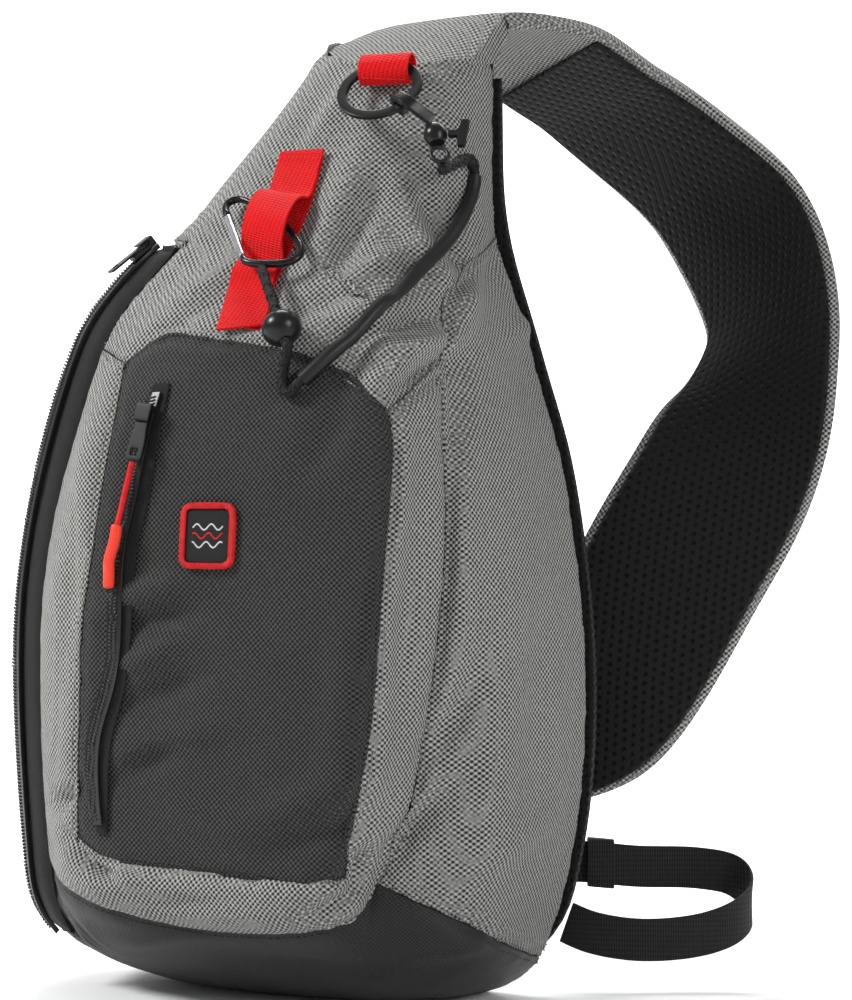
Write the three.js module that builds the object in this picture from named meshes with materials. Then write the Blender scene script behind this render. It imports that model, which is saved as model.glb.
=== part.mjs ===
// A fishing tackle sling bag, standing on its base, built from its sewn panels and its fittings.
// Millimetres, +Z up. The pocket faces -Y, the back panel lies at Y = 0, and the strap arches
// behind it. The origin is on the floor, a quarter of the bag's depth in front of its back panel.
import * as THREE from 'three';

// Driving dimensions
const BODY_HEIGHT = 472;
const HALF_WIDTH = 143;
const BODY_DEPTH = 118;
const POCKET_DEPTH = 38;
const CLOTH = 2;
const SEAM_GAP = 1.0;
const FIT_GAP = 0.3;
const BACK_PAD = 10;
const BACK_BINDING = 3;
const ZIP_WIDTH = 42;
const ZIP_TAPE = 1.4;
const STRAP_THICK = 12;
const STRAP_MESH = 3;
const STRAP_WIDTH = 90;

const GREY = 0x84857f;
const DARK = 0x3a3b3a;
const BASE_DARK = 0x2a2b2b;
const BLACK = 0x141414;

// Small vector helpers
const V = (x, y, z) => new THREE.Vector3(x, y, z);
const mix = (a, b, t) => a + (b - a) * t;
const clamp = (v, low, high) => Math.min(high, Math.max(low, v));

// A column of a table as a smooth function of another column (cubic Hermite through the rows).
function track(rows, along, column) {
  const at = rows.map((row) => row[along]);
  const value = rows.map((row) => row[column]);
  const last = rows.length - 1;
  const slope = value.map((v, i) => {
    const a = Math.max(0, i - 1);
    const b = Math.min(last, i + 1);
    return (value[b] - value[a]) / (at[b] - at[a]);
  });
  return (q) => {
    if (q <= at[0]) return value[0];
    if (q >= at[last]) return value[last];
    let i = 0;
    while (q > at[i + 1]) i += 1;
    const h = at[i + 1] - at[i];
    const t = (q - at[i]) / h;
    const t2 = t * t;
    const t3 = t2 * t;
    return (2 * t3 - 3 * t2 + 1) * value[i] + (t3 - 2 * t2 + t) * h * slope[i]
      + (3 * t2 - 2 * t3) * value[i + 1] + (t3 - t2) * h * slope[i + 1];
  };
}

// Level sections of the packed bag. up: share of BODY_HEIGHT. left, right: reach to each side as
// shares of HALF_WIDTH. deep: share of BODY_DEPTH. square: exponent of the outline's corners.
// pocket: how far the front pocket stands out, as a share of POCKET_DEPTH.
const SECTIONS = table(
  ['up', 'left', 'right', 'deep', 'square', 'pocket'],
  [
    [0.000, 0.50, 0.52, 0.48, 2.8, 0.00],
    [0.010, 0.64, 0.63, 0.62, 3.0, 0.00],
    [0.030, 0.77, 0.73, 0.79, 3.4, 0.00],
    [0.060, 0.89, 0.80, 0.93, 3.8, 0.08],
    [0.095, 0.97, 0.835, 0.97, 4.0, 0.45],
    [0.150, 1.02, 0.880, 0.95, 4.0, 0.90],
    [0.212, 1.04, 0.912, 0.96, 4.0, 0.96],
    [0.297, 1.055, 0.928, 0.98, 4.0, 1.00],
    [0.392, 1.045, 0.917, 1.00, 4.0, 1.00],
    [0.477, 1.00, 0.880, 1.00, 4.0, 0.95],
    [0.561, 0.935, 0.832, 1.00, 4.0, 0.82],
    [0.614, 0.89, 0.770, 0.98, 4.0, 0.70],
    [0.667, 0.81, 0.722, 0.96, 3.8, 0.46],
    [0.710, 0.74, 0.675, 0.90, 3.6, 0.22],
    [0.746, 0.65, 0.632, 0.83, 3.4, 0.06],
    [0.784, 0.47, 0.590, 0.75, 3.2, 0.00],
    [0.812, 0.40, 0.582, 0.69, 3.1, 0.00],
    [0.837, 0.33, 0.580, 0.64, 3.0, 0.00],
    [0.890, 0.20, 0.580, 0.53, 3.0, 0.00],
    [0.943, 0.09, 0.583, 0.40, 2.8, 0.00],
    [0.970, 0.05, 0.583, 0.33, 2.7, 0.00],
    [1.000, -0.02, 0.583, 0.24, 2.6, 0.00],
  ],
);

// Upright seams. up: share of BODY_HEIGHT. at: X as a share of HALF_WIDTH.
const GUSSET_SEAM = table(['up', 'at'], [
  [0.00, 0.46], [0.13, 0.515], [0.17, 0.590], [0.24, 0.660], [0.317, 0.705], [0.413, 0.734],
  [0.508, 0.734], [0.56, 0.718], [0.604, 0.697], [0.64, 0.676], [0.672, 0.660], [0.71, 0.626],
]);
const ZIP_SEAM = table(['up', 'at'], [
  [0.00, -0.62], [0.10, -0.715], [0.155, -0.745], [0.22, -0.755], [0.30, -0.755], [0.385, -0.742],
  [0.446, -0.718], [0.508, -0.672], [0.56, -0.612], [0.611, -0.555], [0.662, -0.510],
  [0.693, -0.475], [0.723, -0.402], [0.78, -0.272], [0.80, -0.25],
]);
const PANEL_RIGHT = table(['up', 'at'], [
  [0.14, 0.50], [0.17, 0.515], [0.226, 0.575], [0.302, 0.625], [0.396, 0.655], [0.49, 0.665],
  [0.565, 0.655], [0.60, 0.625],
]);
const PANEL_LEFT = table(['up', 'at'], [
  [0.15, -0.455], [0.175, -0.46], [0.25, -0.437], [0.31, -0.413], [0.389, -0.40], [0.449, -0.361],
  [0.528, -0.34], [0.588, -0.33], [0.645, -0.345],
]);

function table(names, rows) {
  return rows.map((row) => Object.fromEntries(names.map((name, i) => [name, row[i]])));
}

const sectionTrack = Object.fromEntries(
  ['left', 'right', 'deep', 'square', 'pocket'].map((name) => [name, track(SECTIONS, 'up', name)]),
);
const seamAt = (rows) => {
  const share = track(rows, 'up', 'at');
  return (z) => share(z / BODY_HEIGHT) * HALF_WIDTH;
};
const gussetSeamX = seamAt(GUSSET_SEAM);
const zipSeamX = seamAt(ZIP_SEAM);
const panelRightX = seamAt(PANEL_RIGHT);
const panelLeftX = seamAt(PANEL_LEFT);

// The pocket's shoulders: how wide the rise to the pocket's face is on each side.
const SHOULDER_RIGHT = 17;
const SHOULDER_LEFT = 60;
const SIDE_TUCK = 0.10;

function pocketRise(x, z) {
  const rise = sectionTrack.pocket(z / BODY_HEIGHT) * POCKET_DEPTH;
  const fromRight = clamp((gussetSeamX(z) - x) / SHOULDER_RIGHT, 0, 1);
  const fromLeft = clamp((x - zipSeamX(z)) / SHOULDER_LEFT, 0, 1);
  const right = 1 - (1 - fromRight) ** 2.2;
  const left = 1 - (1 - fromLeft) ** 1.9;
  return rise * right * left;
}

// One level outline from the back right corner round the front to the back left corner,
// with the running length, so that a place on it is a share of its girth.
const OUTLINE_STEPS = 180;
const outlineCache = new Map();
function outline(z) {
  const key = Math.round(z * 50);
  if (outlineCache.has(key)) return outlineCache.get(key);
  const up = z / BODY_HEIGHT;
  const right = sectionTrack.right(up) * HALF_WIDTH;
  const left = sectionTrack.left(up) * HALF_WIDTH;
  const deep = sectionTrack.deep(up) * BODY_DEPTH;
  const power = 2 / sectionTrack.square(up);
  const middle = (right - left) / 2;
  const half = (right + left) / 2;
  const points = [];
  for (let i = 0; i <= OUTLINE_STEPS; i += 1) {
    const turn = (Math.PI * i) / OUTLINE_STEPS;
    const cosine = Math.cos(turn);
    const back = deep * Math.max(0, Math.sin(turn)) ** power;
    let reach = half * Math.sign(cosine) * Math.abs(cosine) ** power;
    if (cosine < 0) reach *= 1 - SIDE_TUCK * (1 - Math.min(1, back / (0.45 * deep))) ** 2;
    const x = middle + reach;
    points.push([x, -back - pocketRise(x, z)]);
  }
  const run = [0];
  for (let i = 1; i <= OUTLINE_STEPS; i += 1) {
    run.push(run[i - 1] + Math.hypot(points[i][0] - points[i - 1][0], points[i][1] - points[i - 1][1]));
  }
  const result = { points, run, girth: run[OUTLINE_STEPS] };
  outlineCache.set(key, result);
  return result;
}

function onBody(girthShare, z) {
  const { points, run, girth } = outline(z);
  const target = clamp(girthShare, 0, 1) * girth;
  let low = 0;
  let high = OUTLINE_STEPS;
  while (high - low > 1) {
    const middle = (low + high) >> 1;
    if (run[middle] <= target) low = middle;
    else high = middle;
  }
  const t = (target - run[low]) / (run[high] - run[low]);
  return V(mix(points[low][0], points[high][0], t), mix(points[low][1], points[high][1], t), z);
}

// Where an outline has a given X on its front, or a given depth on its right side.
function shareAtX(x, z) {
  const { points, run, girth } = outline(z);
  for (let i = 1; i <= OUTLINE_STEPS; i += 1) {
    const front = points[i][1] < -10;
    if (front && points[i][0] <= x && points[i - 1][0] > x) {
      const t = (points[i - 1][0] - x) / (points[i - 1][0] - points[i][0]);
      return mix(run[i - 1], run[i], t) / girth;
    }
  }
  return x > points[0][0] ? 0 : 1;
}

function shareAtDepth(y, z) {
  const { points, run, girth } = outline(z);
  for (let i = 1; i <= OUTLINE_STEPS; i += 1) {
    if (points[i][1] <= y) {
      const t = (y - points[i - 1][1]) / (points[i][1] - points[i - 1][1]);
      return mix(run[i - 1], run[i], t) / girth;
    }
  }
  return 0.5;
}

function bodyNormal(share, z) {
  const step = 1.5;
  const { girth } = outline(z);
  const across = onBody(share + step / girth, z).sub(onBody(share - step / girth, z));
  const top = Math.min(z + step, BODY_HEIGHT);
  const low = Math.max(z - step, 0);
  const upward = onBody(share, top).sub(onBody(share, low));
  return across.cross(upward).normalize().negate();
}

// A path on the body: corners as [girth share, height], read by a share of its length.
function path(corners) {
  const run = [0];
  for (let i = 1; i < corners.length; i += 1) {
    const across = (corners[i][0] - corners[i - 1][0]) * 3 * HALF_WIDTH;
    run.push(run[i - 1] + Math.hypot(across, corners[i][1] - corners[i - 1][1]));
  }
  const total = run[run.length - 1];
  return (share) => {
    const target = share * total;
    let i = 0;
    while (i < corners.length - 2 && target > run[i + 1]) i += 1;
    const t = (target - run[i]) / (run[i + 1] - run[i] || 1);
    return [mix(corners[i][0], corners[i + 1][0], t), mix(corners[i][1], corners[i + 1][1], t)];
  };
}

// A patch of the body between four paths: low and high run left to right in share order, and
// start and end run upwards. Returns a grid of girth shares and heights.
function patch(low, high, start, end, columns, rows) {
  return rows.map((t) => columns.map((s) => [0, 1].map((k) => (
    (1 - t) * low(s)[k] + t * high(s)[k] + (1 - s) * start(t)[k] + s * end(t)[k]
    - (1 - s) * (1 - t) * low(0)[k] - s * (1 - t) * low(1)[k]
    - (1 - s) * t * high(0)[k] - s * t * high(1)[k]
  ))));
}

// Closed solid between two point grids of the same size.
function solidBetween(outer, inner) {
  const rows = outer.length;
  const columns = outer[0].length;
  const points = [...outer.flat(), ...inner.flat()];
  const faces = [];
  const o = (j, i) => j * columns + i;
  const n = (j, i) => rows * columns + j * columns + i;
  for (let j = 0; j < rows - 1; j += 1) {
    for (let i = 0; i < columns - 1; i += 1) {
      faces.push([o(j, i), o(j, i + 1), o(j + 1, i + 1)], [o(j, i), o(j + 1, i + 1), o(j + 1, i)]);
      faces.push([n(j, i), n(j + 1, i + 1), n(j, i + 1)], [n(j, i), n(j + 1, i), n(j + 1, i + 1)]);
    }
  }
  const rim = [];
  for (let i = 0; i < columns - 1; i += 1) rim.push([[0, i], [0, i + 1]]);
  for (let j = 0; j < rows - 1; j += 1) rim.push([[j, columns - 1], [j + 1, columns - 1]]);
  for (let i = columns - 1; i > 0; i -= 1) rim.push([[rows - 1, i], [rows - 1, i - 1]]);
  for (let j = rows - 1; j > 0; j -= 1) rim.push([[j, 0], [j - 1, 0]]);
  rim.forEach(([a, b]) => {
    faces.push([o(...a), n(...a), n(...b)], [o(...a), n(...b), o(...b)]);
  });
  return solid(points, faces);
}

function solid(points, faces) {
  const used = faces.filter(([a, b, c]) => (
    points[a].distanceTo(points[b]) > 1e-3 && points[b].distanceTo(points[c]) > 1e-3
    && points[c].distanceTo(points[a]) > 1e-3
  ));
  let volume = 0;
  used.forEach(([a, b, c]) => {
    volume += points[a].dot(points[b].clone().cross(points[c]));
  });
  const position = [];
  used.forEach((face) => {
    const order = volume > 0 ? face : [face[0], face[2], face[1]];
    order.forEach((i) => position.push(points[i].x, points[i].y, points[i].z));
  });
  const geometry = new THREE.BufferGeometry();
  geometry.setAttribute('position', new THREE.Float32BufferAttribute(position, 3));
  geometry.computeVertexNormals();
  return geometry;
}

// Draws the rim of a point grid in by half a seam gap, towards the next row or column.
function drawIn(grid, amount) {
  const rows = grid.length;
  const columns = grid[0].length;
  const moved = grid.map((line) => line.map((p) => p.clone()));
  const pull = (j, i, dj, di) => {
    const way = grid[j + dj][i + di].clone().sub(grid[j][i]);
    moved[j][i].add(way.setLength(Math.min(amount, way.length() / 2)));
  };
  for (let i = 0; i < columns; i += 1) {
    pull(0, i, 1, 0);
    pull(rows - 1, i, -1, 0);
  }
  for (let j = 0; j < rows; j += 1) {
    pull(j, 0, 0, 1);
    pull(j, columns - 1, 0, -1);
  }
  return moved;
}

// Folds and dents pressed into the cloth. x, y, z: middle as shares of HALF_WIDTH, BODY_DEPTH and
// BODY_HEIGHT. turn: way it runs, in degrees from level. long, wide: spread, in mm. high: in mm.
const FOLDS = table(['x', 'y', 'z', 'turn', 'long', 'wide', 'high'], [
  [0.43, -0.93, 0.70, -38, 26, 11, 3.0],
  [0.30, -0.90, 0.76, 20, 30, 12, 2.2],
  [0.47, -0.75, 0.78, -55, 24, 9, -2.4],
  [0.10, -1.02, 0.70, -40, 26, 11, -2.2],
  [-0.15, -1.10, 0.69, 12, 22, 8, 2.4],
  [0.50, -1.05, 0.66, -50, 20, 8, -2.6],
  [0.73, -0.80, 0.62, -60, 26, 10, 2.2],
  [0.80, -0.62, 0.56, -78, 40, 12, -1.8],
  [0.82, -0.75, 0.20, 62, 30, 11, 3.0],
  [0.74, -0.95, 0.23, 70, 26, 10, -3.0],
  [0.84, -0.40, 0.18, 80, 30, 11, -2.2],
  [0.05, -1.31, 0.40, -28, 34, 11, -2.4],
  [-0.08, -1.31, 0.34, -30, 36, 11, 2.2],
  [0.00, -1.30, 0.28, -32, 36, 12, -2.6],
  [0.10, -1.28, 0.22, -22, 36, 11, 2.0],
  [-0.10, -1.31, 0.52, -20, 26, 10, -1.6],
  [-0.60, -1.00, 0.155, 15, 14, 7, -2.4],
  [0.26, -1.22, 0.115, 80, 12, 7, -2.4],
]);
const FOLD_REACH = 30;

function foldHeight(point, normal) {
  const across = V(-normal.y, normal.x, 0).normalize();
  const upward = normal.clone().cross(across);
  let height = 0;
  FOLDS.forEach((fold) => {
    const away = point.clone().sub(V(fold.x * HALF_WIDTH, fold.y * BODY_DEPTH, fold.z * BODY_HEIGHT));
    const turn = THREE.MathUtils.degToRad(fold.turn);
    const level = away.dot(across);
    const rise = away.dot(upward);
    const run = level * Math.cos(turn) + rise * Math.sin(turn);
    const side = rise * Math.cos(turn) - level * Math.sin(turn);
    const off = away.dot(normal);
    height += fold.high * Math.exp(-((run / fold.long) ** 2) - (side / fold.wide) ** 2 - (off / FOLD_REACH) ** 2);
  });
  return height;
}

// A cloth panel: the patch lifted off the body by `raise`, drawn in at its seams, `thick` deep.
function clothPanel(grid, { raise = () => 0, thick = CLOTH, gap = SEAM_GAP / 2 } = {}) {
  const normals = grid.map((line) => line.map(([share, z]) => bodyNormal(share, z)));
  const outer = grid.map((line, j) => line.map(([share, z], i) => {
    const point = onBody(share, z);
    const edge = i === 0 || j === 0 || i === line.length - 1 || j === grid.length - 1;
    const fold = edge ? 0 : foldHeight(point, normals[j][i]);
    const height = raise(i / (line.length - 1), j / (grid.length - 1), i, j) + fold;
    return point.addScaledVector(normals[j][i], height);
  }));
  const trimmed = drawIn(outer, gap);
  const inner = trimmed.map((line, j) => line.map((p, i) => p.clone().addScaledVector(normals[j][i], -thick)));
  return solidBetween(trimmed, inner);
}

const group = new THREE.Group();
function add(name, geometry, color, roughness = 0.9, metalness = 0) {
  const material = new THREE.MeshStandardMaterial({ color, roughness, metalness });
  const mesh = new THREE.Mesh(geometry, material);
  mesh.name = name;
  group.add(mesh);
  return mesh;
}

const lift = (share) => share * BODY_HEIGHT;
const atX = (share, up) => [shareAtX(share * HALF_WIDTH, lift(up)), lift(up)];
const atDepth = (share, up) => [shareAtDepth(-share * BODY_DEPTH, lift(up)), lift(up)];

// Heights where seams meet, as shares of BODY_HEIGHT.
const ZIP_TOP = 0.775;
const ZIP_FOOT = 0.058;
const ZIP_LOW = 0.062;
const BAND_FOOT_LEFT = 0.132;
const BAND_TOP_RIGHT = 0.640;
const BAND_TOP_LEFT = 0.662;
const BAND_FOOT = 0.138;
const GUSSET_HIGH = 0.703;
const PANEL_TOP_RIGHT = 0.594;
const PANEL_TOP_LEFT = 0.645;
const PANEL_FOOT_RIGHT = 0.15;
const PANEL_FOOT_LEFT = 0.172;
const BACK_EDGE_TOP = 0.80;

const even = (steps) => Array.from({ length: steps + 1 }, (_, i) => i / steps);
const between = (from, to, steps) => even(steps).map((t) => mix(from, to, t));
const onSeam = (seamX, up) => [shareAtX(seamX(lift(up)), lift(up)), lift(up)];
const seamPath = (seamX, from, to, steps) => between(from, to, steps).map((up) => onSeam(seamX, up));
// A seam read by its list of heights, so that both panels sewn along it share their corners.
const upSeam = (seamX, heights) => (t) => {
  const q = t * (heights.length - 1);
  const i = Math.min(heights.length - 2, Math.floor(q));
  return onSeam(seamX, mix(heights[i], heights[i + 1], q - i));
};
// Shares of length that take in the corners of each path, with no step longer than `most`.
const NEAR = 0.012;
function stations(paths, most) {
  const stops = paths.flatMap((corners) => {
    const run = [0];
    for (let i = 1; i < corners.length; i += 1) {
      const across = (corners[i][0] - corners[i - 1][0]) * 3 * HALF_WIDTH;
      run.push(run[i - 1] + Math.hypot(across, corners[i][1] - corners[i - 1][1]));
    }
    return run.map((r) => r / run[run.length - 1]);
  }).sort((a, b) => a - b);
  const kept = [0];
  stops.forEach((q) => {
    if (q - kept[kept.length - 1] > NEAR && 1 - q > NEAR) kept.push(q);
  });
  kept.push(1);
  return kept.flatMap((q, i) => {
    if (i === 0) return [q];
    const parts = Math.ceil((q - kept[i - 1]) / most);
    return even(parts).slice(1).map((t) => mix(kept[i - 1], q, t));
  });
}
const zipOuter = (up) => [onSeam(zipSeamX, up)[0] + ZIP_WIDTH / outline(lift(up)).girth, lift(up)];

// Seams that more than one panel shares, from the bag's right round the front to its left.
const GUSSET_FOOT = [[0, lift(0.040)], atDepth(0.21, 0.052), atDepth(0.51, 0.073), atDepth(0.76, 0.103),
  onSeam(gussetSeamX, BAND_FOOT)];
const BAND_SEAM = [onSeam(gussetSeamX, BAND_FOOT), atX(0.508, 0.125), atX(0.475, 0.103), atX(0.385, 0.093),
  atX(0.21, 0.087), atX(0, 0.085), atX(-0.28, 0.094), atX(-0.49, 0.108), atX(-0.63, 0.121),
  onSeam(zipSeamX, BAND_FOOT_LEFT)];
const ZIP_END = [...seamPath(zipSeamX, BAND_FOOT_LEFT, ZIP_LOW, 3), zipOuter(ZIP_FOOT), [1, lift(0.05)]];
const GUSSET_TOP = [[0, lift(0.779)], atDepth(0.35, 0.746), onSeam(gussetSeamX, GUSSET_HIGH)];
const POCKET_TOP = [onSeam(panelRightX, PANEL_TOP_RIGHT), atX(0.59, 0.607), atX(0.50, 0.629), atX(0.33, 0.650),
  atX(0.18, 0.659), atX(0.02, 0.665), atX(-0.15, 0.674), atX(-0.22, 0.670), onSeam(panelLeftX, PANEL_TOP_LEFT)];
const POCKET_FOOT = [onSeam(panelRightX, PANEL_FOOT_RIGHT), atX(0.40, 0.138), atX(0.19, 0.145), atX(-0.05, 0.148),
  atX(-0.34, 0.152), onSeam(panelLeftX, PANEL_FOOT_LEFT)];
const STRAP_SEAM = [[0, lift(0.957)], [0.15, lift(0.951)], [0.4, lift(0.941)], [0.6, lift(0.953)],
  [0.8, lift(0.978)], [1, lift(0.987)]];

// Heights at which the upright seams have their corners.
const BAND_STEPS = 13;
const GUSSET_HEIGHTS = [...between(BAND_FOOT, BAND_TOP_RIGHT, BAND_STEPS),
  ...between(BAND_TOP_RIGHT, GUSSET_HIGH, 2).slice(1)];
const ZIP_HEIGHTS = [...between(ZIP_LOW, BAND_FOOT_LEFT, 3), ...between(BAND_FOOT_LEFT, BAND_TOP_LEFT, BAND_STEPS).slice(1),
  ...between(BAND_TOP_LEFT, ZIP_TOP, 6).slice(1)];
const PANEL_HEIGHTS_RIGHT = between(PANEL_FOOT_RIGHT, PANEL_TOP_RIGHT, BAND_STEPS);
const PANEL_HEIGHTS_LEFT = between(PANEL_FOOT_LEFT, PANEL_TOP_LEFT, BAND_STEPS);

// Right gusset: from the base seam to the slanting seam under the upper front panel.
add('right_gusset', clothPanel(patch(
  path(GUSSET_FOOT),
  path(GUSSET_TOP),
  path([GUSSET_FOOT[0], GUSSET_TOP[0]]),
  upSeam(gussetSeamX, GUSSET_HEIGHTS),
  stations([GUSSET_FOOT, GUSSET_TOP], 0.16),
  even(GUSSET_HEIGHTS.length - 1),
), { gap: SEAM_GAP / 2 + 0.6 }), GREY);

// Upper front panel: from the pocket's top to the strap, closed round both sides.
const upperLow = [...GUSSET_TOP, ...seamPath(gussetSeamX, GUSSET_HIGH, BAND_TOP_RIGHT, 2).slice(1), ...POCKET_TOP,
  onSeam(zipSeamX, BAND_TOP_LEFT)];
const upperLeft = [...seamPath(zipSeamX, BAND_TOP_LEFT, ZIP_TOP, 6), [1, lift(BACK_EDGE_TOP)],
  STRAP_SEAM[STRAP_SEAM.length - 1]];
add('upper_front_panel', clothPanel(patch(
  path(upperLow),
  path(STRAP_SEAM),
  path([GUSSET_TOP[0], STRAP_SEAM[0]]),
  path(upperLeft),
  stations([upperLow, STRAP_SEAM], 0.08),
  stations([upperLeft], 0.11),
)), GREY);

// Pocket panel: the dark face of the front pocket.
add('pocket_panel', clothPanel(patch(
  path(POCKET_FOOT),
  path(POCKET_TOP),
  upSeam(panelRightX, PANEL_HEIGHTS_RIGHT),
  upSeam(panelLeftX, PANEL_HEIGHTS_LEFT),
  stations([POCKET_TOP, POCKET_FOOT], 0.16),
  even(BAND_STEPS),
)), DARK);

// Pocket gusset: one strip from the pocket's top right corner down, under the pocket as a
// stuffed roll, and up to its top left corner. Rows of [panel side, seam side, puff].
const SIDE_PUFF = 1.5;
const ROLL_PUFF = 9;
const FOOT_SHARES = [0.05, 0.105, 0.2, 0.325, 0.5, 0.72, 0.88, 0.96];
function pocketGussetRows() {
  const foot = path(POCKET_FOOT);
  const right = even(BAND_STEPS).reverse().map((t) => (
    [upSeam(panelRightX, PANEL_HEIGHTS_RIGHT)(t), onSeam(gussetSeamX, mix(BAND_FOOT, BAND_TOP_RIGHT, t)), SIDE_PUFF]
  ));
  const roll = FOOT_SHARES.map((share, i) => (
    [foot(share), BAND_SEAM[i + 1], mix(SIDE_PUFF, ROLL_PUFF, Math.sin((Math.PI * (i + 1)) / 9) ** 0.5)]
  ));
  const left = even(BAND_STEPS).map((t) => (
    [upSeam(panelLeftX, PANEL_HEIGHTS_LEFT)(t), onSeam(zipSeamX, mix(BAND_FOOT_LEFT, BAND_TOP_LEFT, t)), SIDE_PUFF]
  ));
  return [...right, ...roll, ...left];
}
const gussetRows = pocketGussetRows();
const acrossBand = [0, 0.14, 0.38, 0.62, 0.86, 1];
add('pocket_gusset', clothPanel(
  gussetRows.map(([inner, seam]) => acrossBand.map((s) => [mix(inner[0], seam[0], s), mix(inner[1], seam[1], s)])),
  { raise: (s, t, i, j) => gussetRows[j][2] * Math.sin(Math.PI * acrossBand[i]), gap: SEAM_GAP },
), GREY);

// Main zip: tape down the left side, with the raised coil along its middle.
const zipRows = even(ZIP_HEIGHTS.length - 1);
const zipOuterAt = (t) => zipOuter(mix(ZIP_FOOT, ZIP_TOP, (upSeam(zipSeamX, ZIP_HEIGHTS)(t)[1] - lift(ZIP_LOW))
  / lift(ZIP_TOP - ZIP_LOW)));
const zipColumns = [0, 0.2, 0.41, 0.59, 0.8, 1];
const TAPE_TUCK = 0.011;
const zipGrid = patch(
  path([onSeam(zipSeamX, ZIP_LOW), zipOuter(ZIP_FOOT)]),
  path([onSeam(zipSeamX, ZIP_TOP), zipOuter(ZIP_TOP)]),
  upSeam(zipSeamX, ZIP_HEIGHTS),
  zipOuterAt,
  zipColumns,
  zipRows,
);
zipGrid[zipGrid.length - 1].forEach((spot, i) => {
  spot[1] -= lift(TAPE_TUCK) * (1 - zipColumns[i]);
});
add('main_zip_tape', clothPanel(zipGrid, { thick: ZIP_TAPE }), BLACK);
const COIL_RISE = 3;
add('main_zip_coil', clothPanel(
  zipGrid.map((line) => line.slice(2, 4)),
  { raise: () => COIL_RISE, thick: COIL_RISE - FIT_GAP - 0.1 },
), BLACK);

// Left gusset: from the zip round to the back panel.
add('left_gusset', clothPanel(patch(
  path([zipOuter(ZIP_FOOT), [1, lift(0.05)]]),
  path([zipOuter(ZIP_TOP), [1, lift(BACK_EDGE_TOP - 0.012)]]),
  zipOuterAt,
  path([[1, lift(0.05)], [1, lift(BACK_EDGE_TOP - 0.012)]]),
  even(4),
  zipRows,
)), GREY);

// Base: a dark tub whose floor lies flat on the ground.
const TUB_RING = [0, 0.3, 0.55, 0.75, 0.9, 1];
const FLOOR_RING = [0.7, 0.35, 0];
// A spot on the tub, `t` of the way down from its rim, kept clear of the zip's seam beside it.
const SEAM_LEAN = 0.6;
function tubSpot([share, rimZ], s, t) {
  const z = rimZ * (1 - t);
  const spot = mix(share, s, t * 0.5);
  const fromSeam = Math.abs(share - onSeam(zipSeamX, rimZ / BODY_HEIGHT)[0]);
  const beside = fromSeam < 0.004 && rimZ >= lift(ZIP_LOW) - 0.01;
  if (!beside) return [spot, z];
  const limit = onSeam(zipSeamX, z / BODY_HEIGHT)[0] - (SEAM_LEAN * (rimZ - z)) / outline(z).girth;
  return [Math.min(spot, limit) - SEAM_GAP / outline(z).girth, z];
}
function basePanel() {
  const corners = [...GUSSET_FOOT, ...BAND_SEAM.slice(1), ...ZIP_END.slice(1)];
  const rim = path(corners);
  const columns = stations([corners], 0.05);
  const middle = V((onBody(0, 0).x + onBody(1, 0).x) / 2, -1, 0);
  const down = V(0, 0, -1);
  const outer = [];
  const normals = [];
  TUB_RING.forEach((t, j) => {
    outer.push(columns.map((s) => onBody(...tubSpot(rim(s), s, t))));
    normals.push(columns.map((s) => {
      const [share, z] = tubSpot(rim(s), s, t);
      const n = bodyNormal(share, Math.max(1.5, z));
      return j === TUB_RING.length - 1 ? n.add(down).normalize() : n;
    }));
  });
  const edge = outer[outer.length - 1];
  FLOOR_RING.forEach((share) => {
    outer.push(edge.map((p) => middle.clone().lerp(p, share)));
    normals.push(edge.map(() => down));
  });
  const trimmed = outer.map((line) => line.map((p) => p.clone()));
  for (let i = 0; i < columns.length; i += 1) {
    const way = outer[1][i].clone().sub(outer[0][i]);
    trimmed[0][i].add(way.setLength(SEAM_GAP));
  }
  trimmed.forEach((line) => [0, line.length - 1].forEach((i) => {
    line[i].y = Math.min(line[i].y, -SEAM_GAP / 2);
  }));
  const inner = trimmed.map((line, j) => line.map((p, i) => p.clone().addScaledVector(normals[j][i], -CLOTH)));
  inner.forEach((line) => [0, line.length - 1].forEach((i) => {
    line[i].y = Math.min(line[i].y, -SEAM_GAP / 2);
  }));
  return solidBetween(trimmed, inner);
}
add('base_panel', basePanel(), BASE_DARK);

// Inner wall between the main compartment and the front pocket, sewn in at the pocket's seams.
const WALL_INSET = CLOTH + 0.9;
function pocketWall() {
  const heights = between(0.16, 0.63, 8);
  const columns = even(6);
  const face = (inset) => heights.map((up) => columns.map((s) => {
    const z = lift(up);
    const x = mix(gussetSeamX(z) - 2, zipSeamX(z) + 2, s);
    const share = shareAtX(x, z);
    const p = onBody(share, z);
    return V(x, p.y + pocketRise(x, z) + inset, z);
  }));
  return solidBetween(face(WALL_INSET), face(WALL_INSET + 1.2));
}
add('pocket_wall', pocketWall(), DARK);

// Back panel: a flat padded board of mesh, a little wider than the bag.
function backPanel() {
  const rows = between(0, 0.944, 15);
  const columns = [0, 0.03, 0.12, 0.3, 0.5, 0.7, 0.88, 0.97, 1];
  const plump = [0.45, 0.75, 1, 1, 1, 1, 1, 0.75, 0.45];
  const face = (depth) => rows.map((up, j) => {
    const from = onBody(0, lift(up)).x + BACK_BINDING;
    const to = onBody(1, lift(up)).x - BACK_BINDING;
    const ends = j === 0 || j === rows.length - 1 ? 0.6 : 1;
    return columns.map((s, i) => V(mix(from, to, s), FIT_GAP + depth * plump[i] * ends, lift(up)));
  });
  return solidBetween(face(BACK_PAD), face(0));
}
add('back_panel', backPanel(), BLACK);

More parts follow.
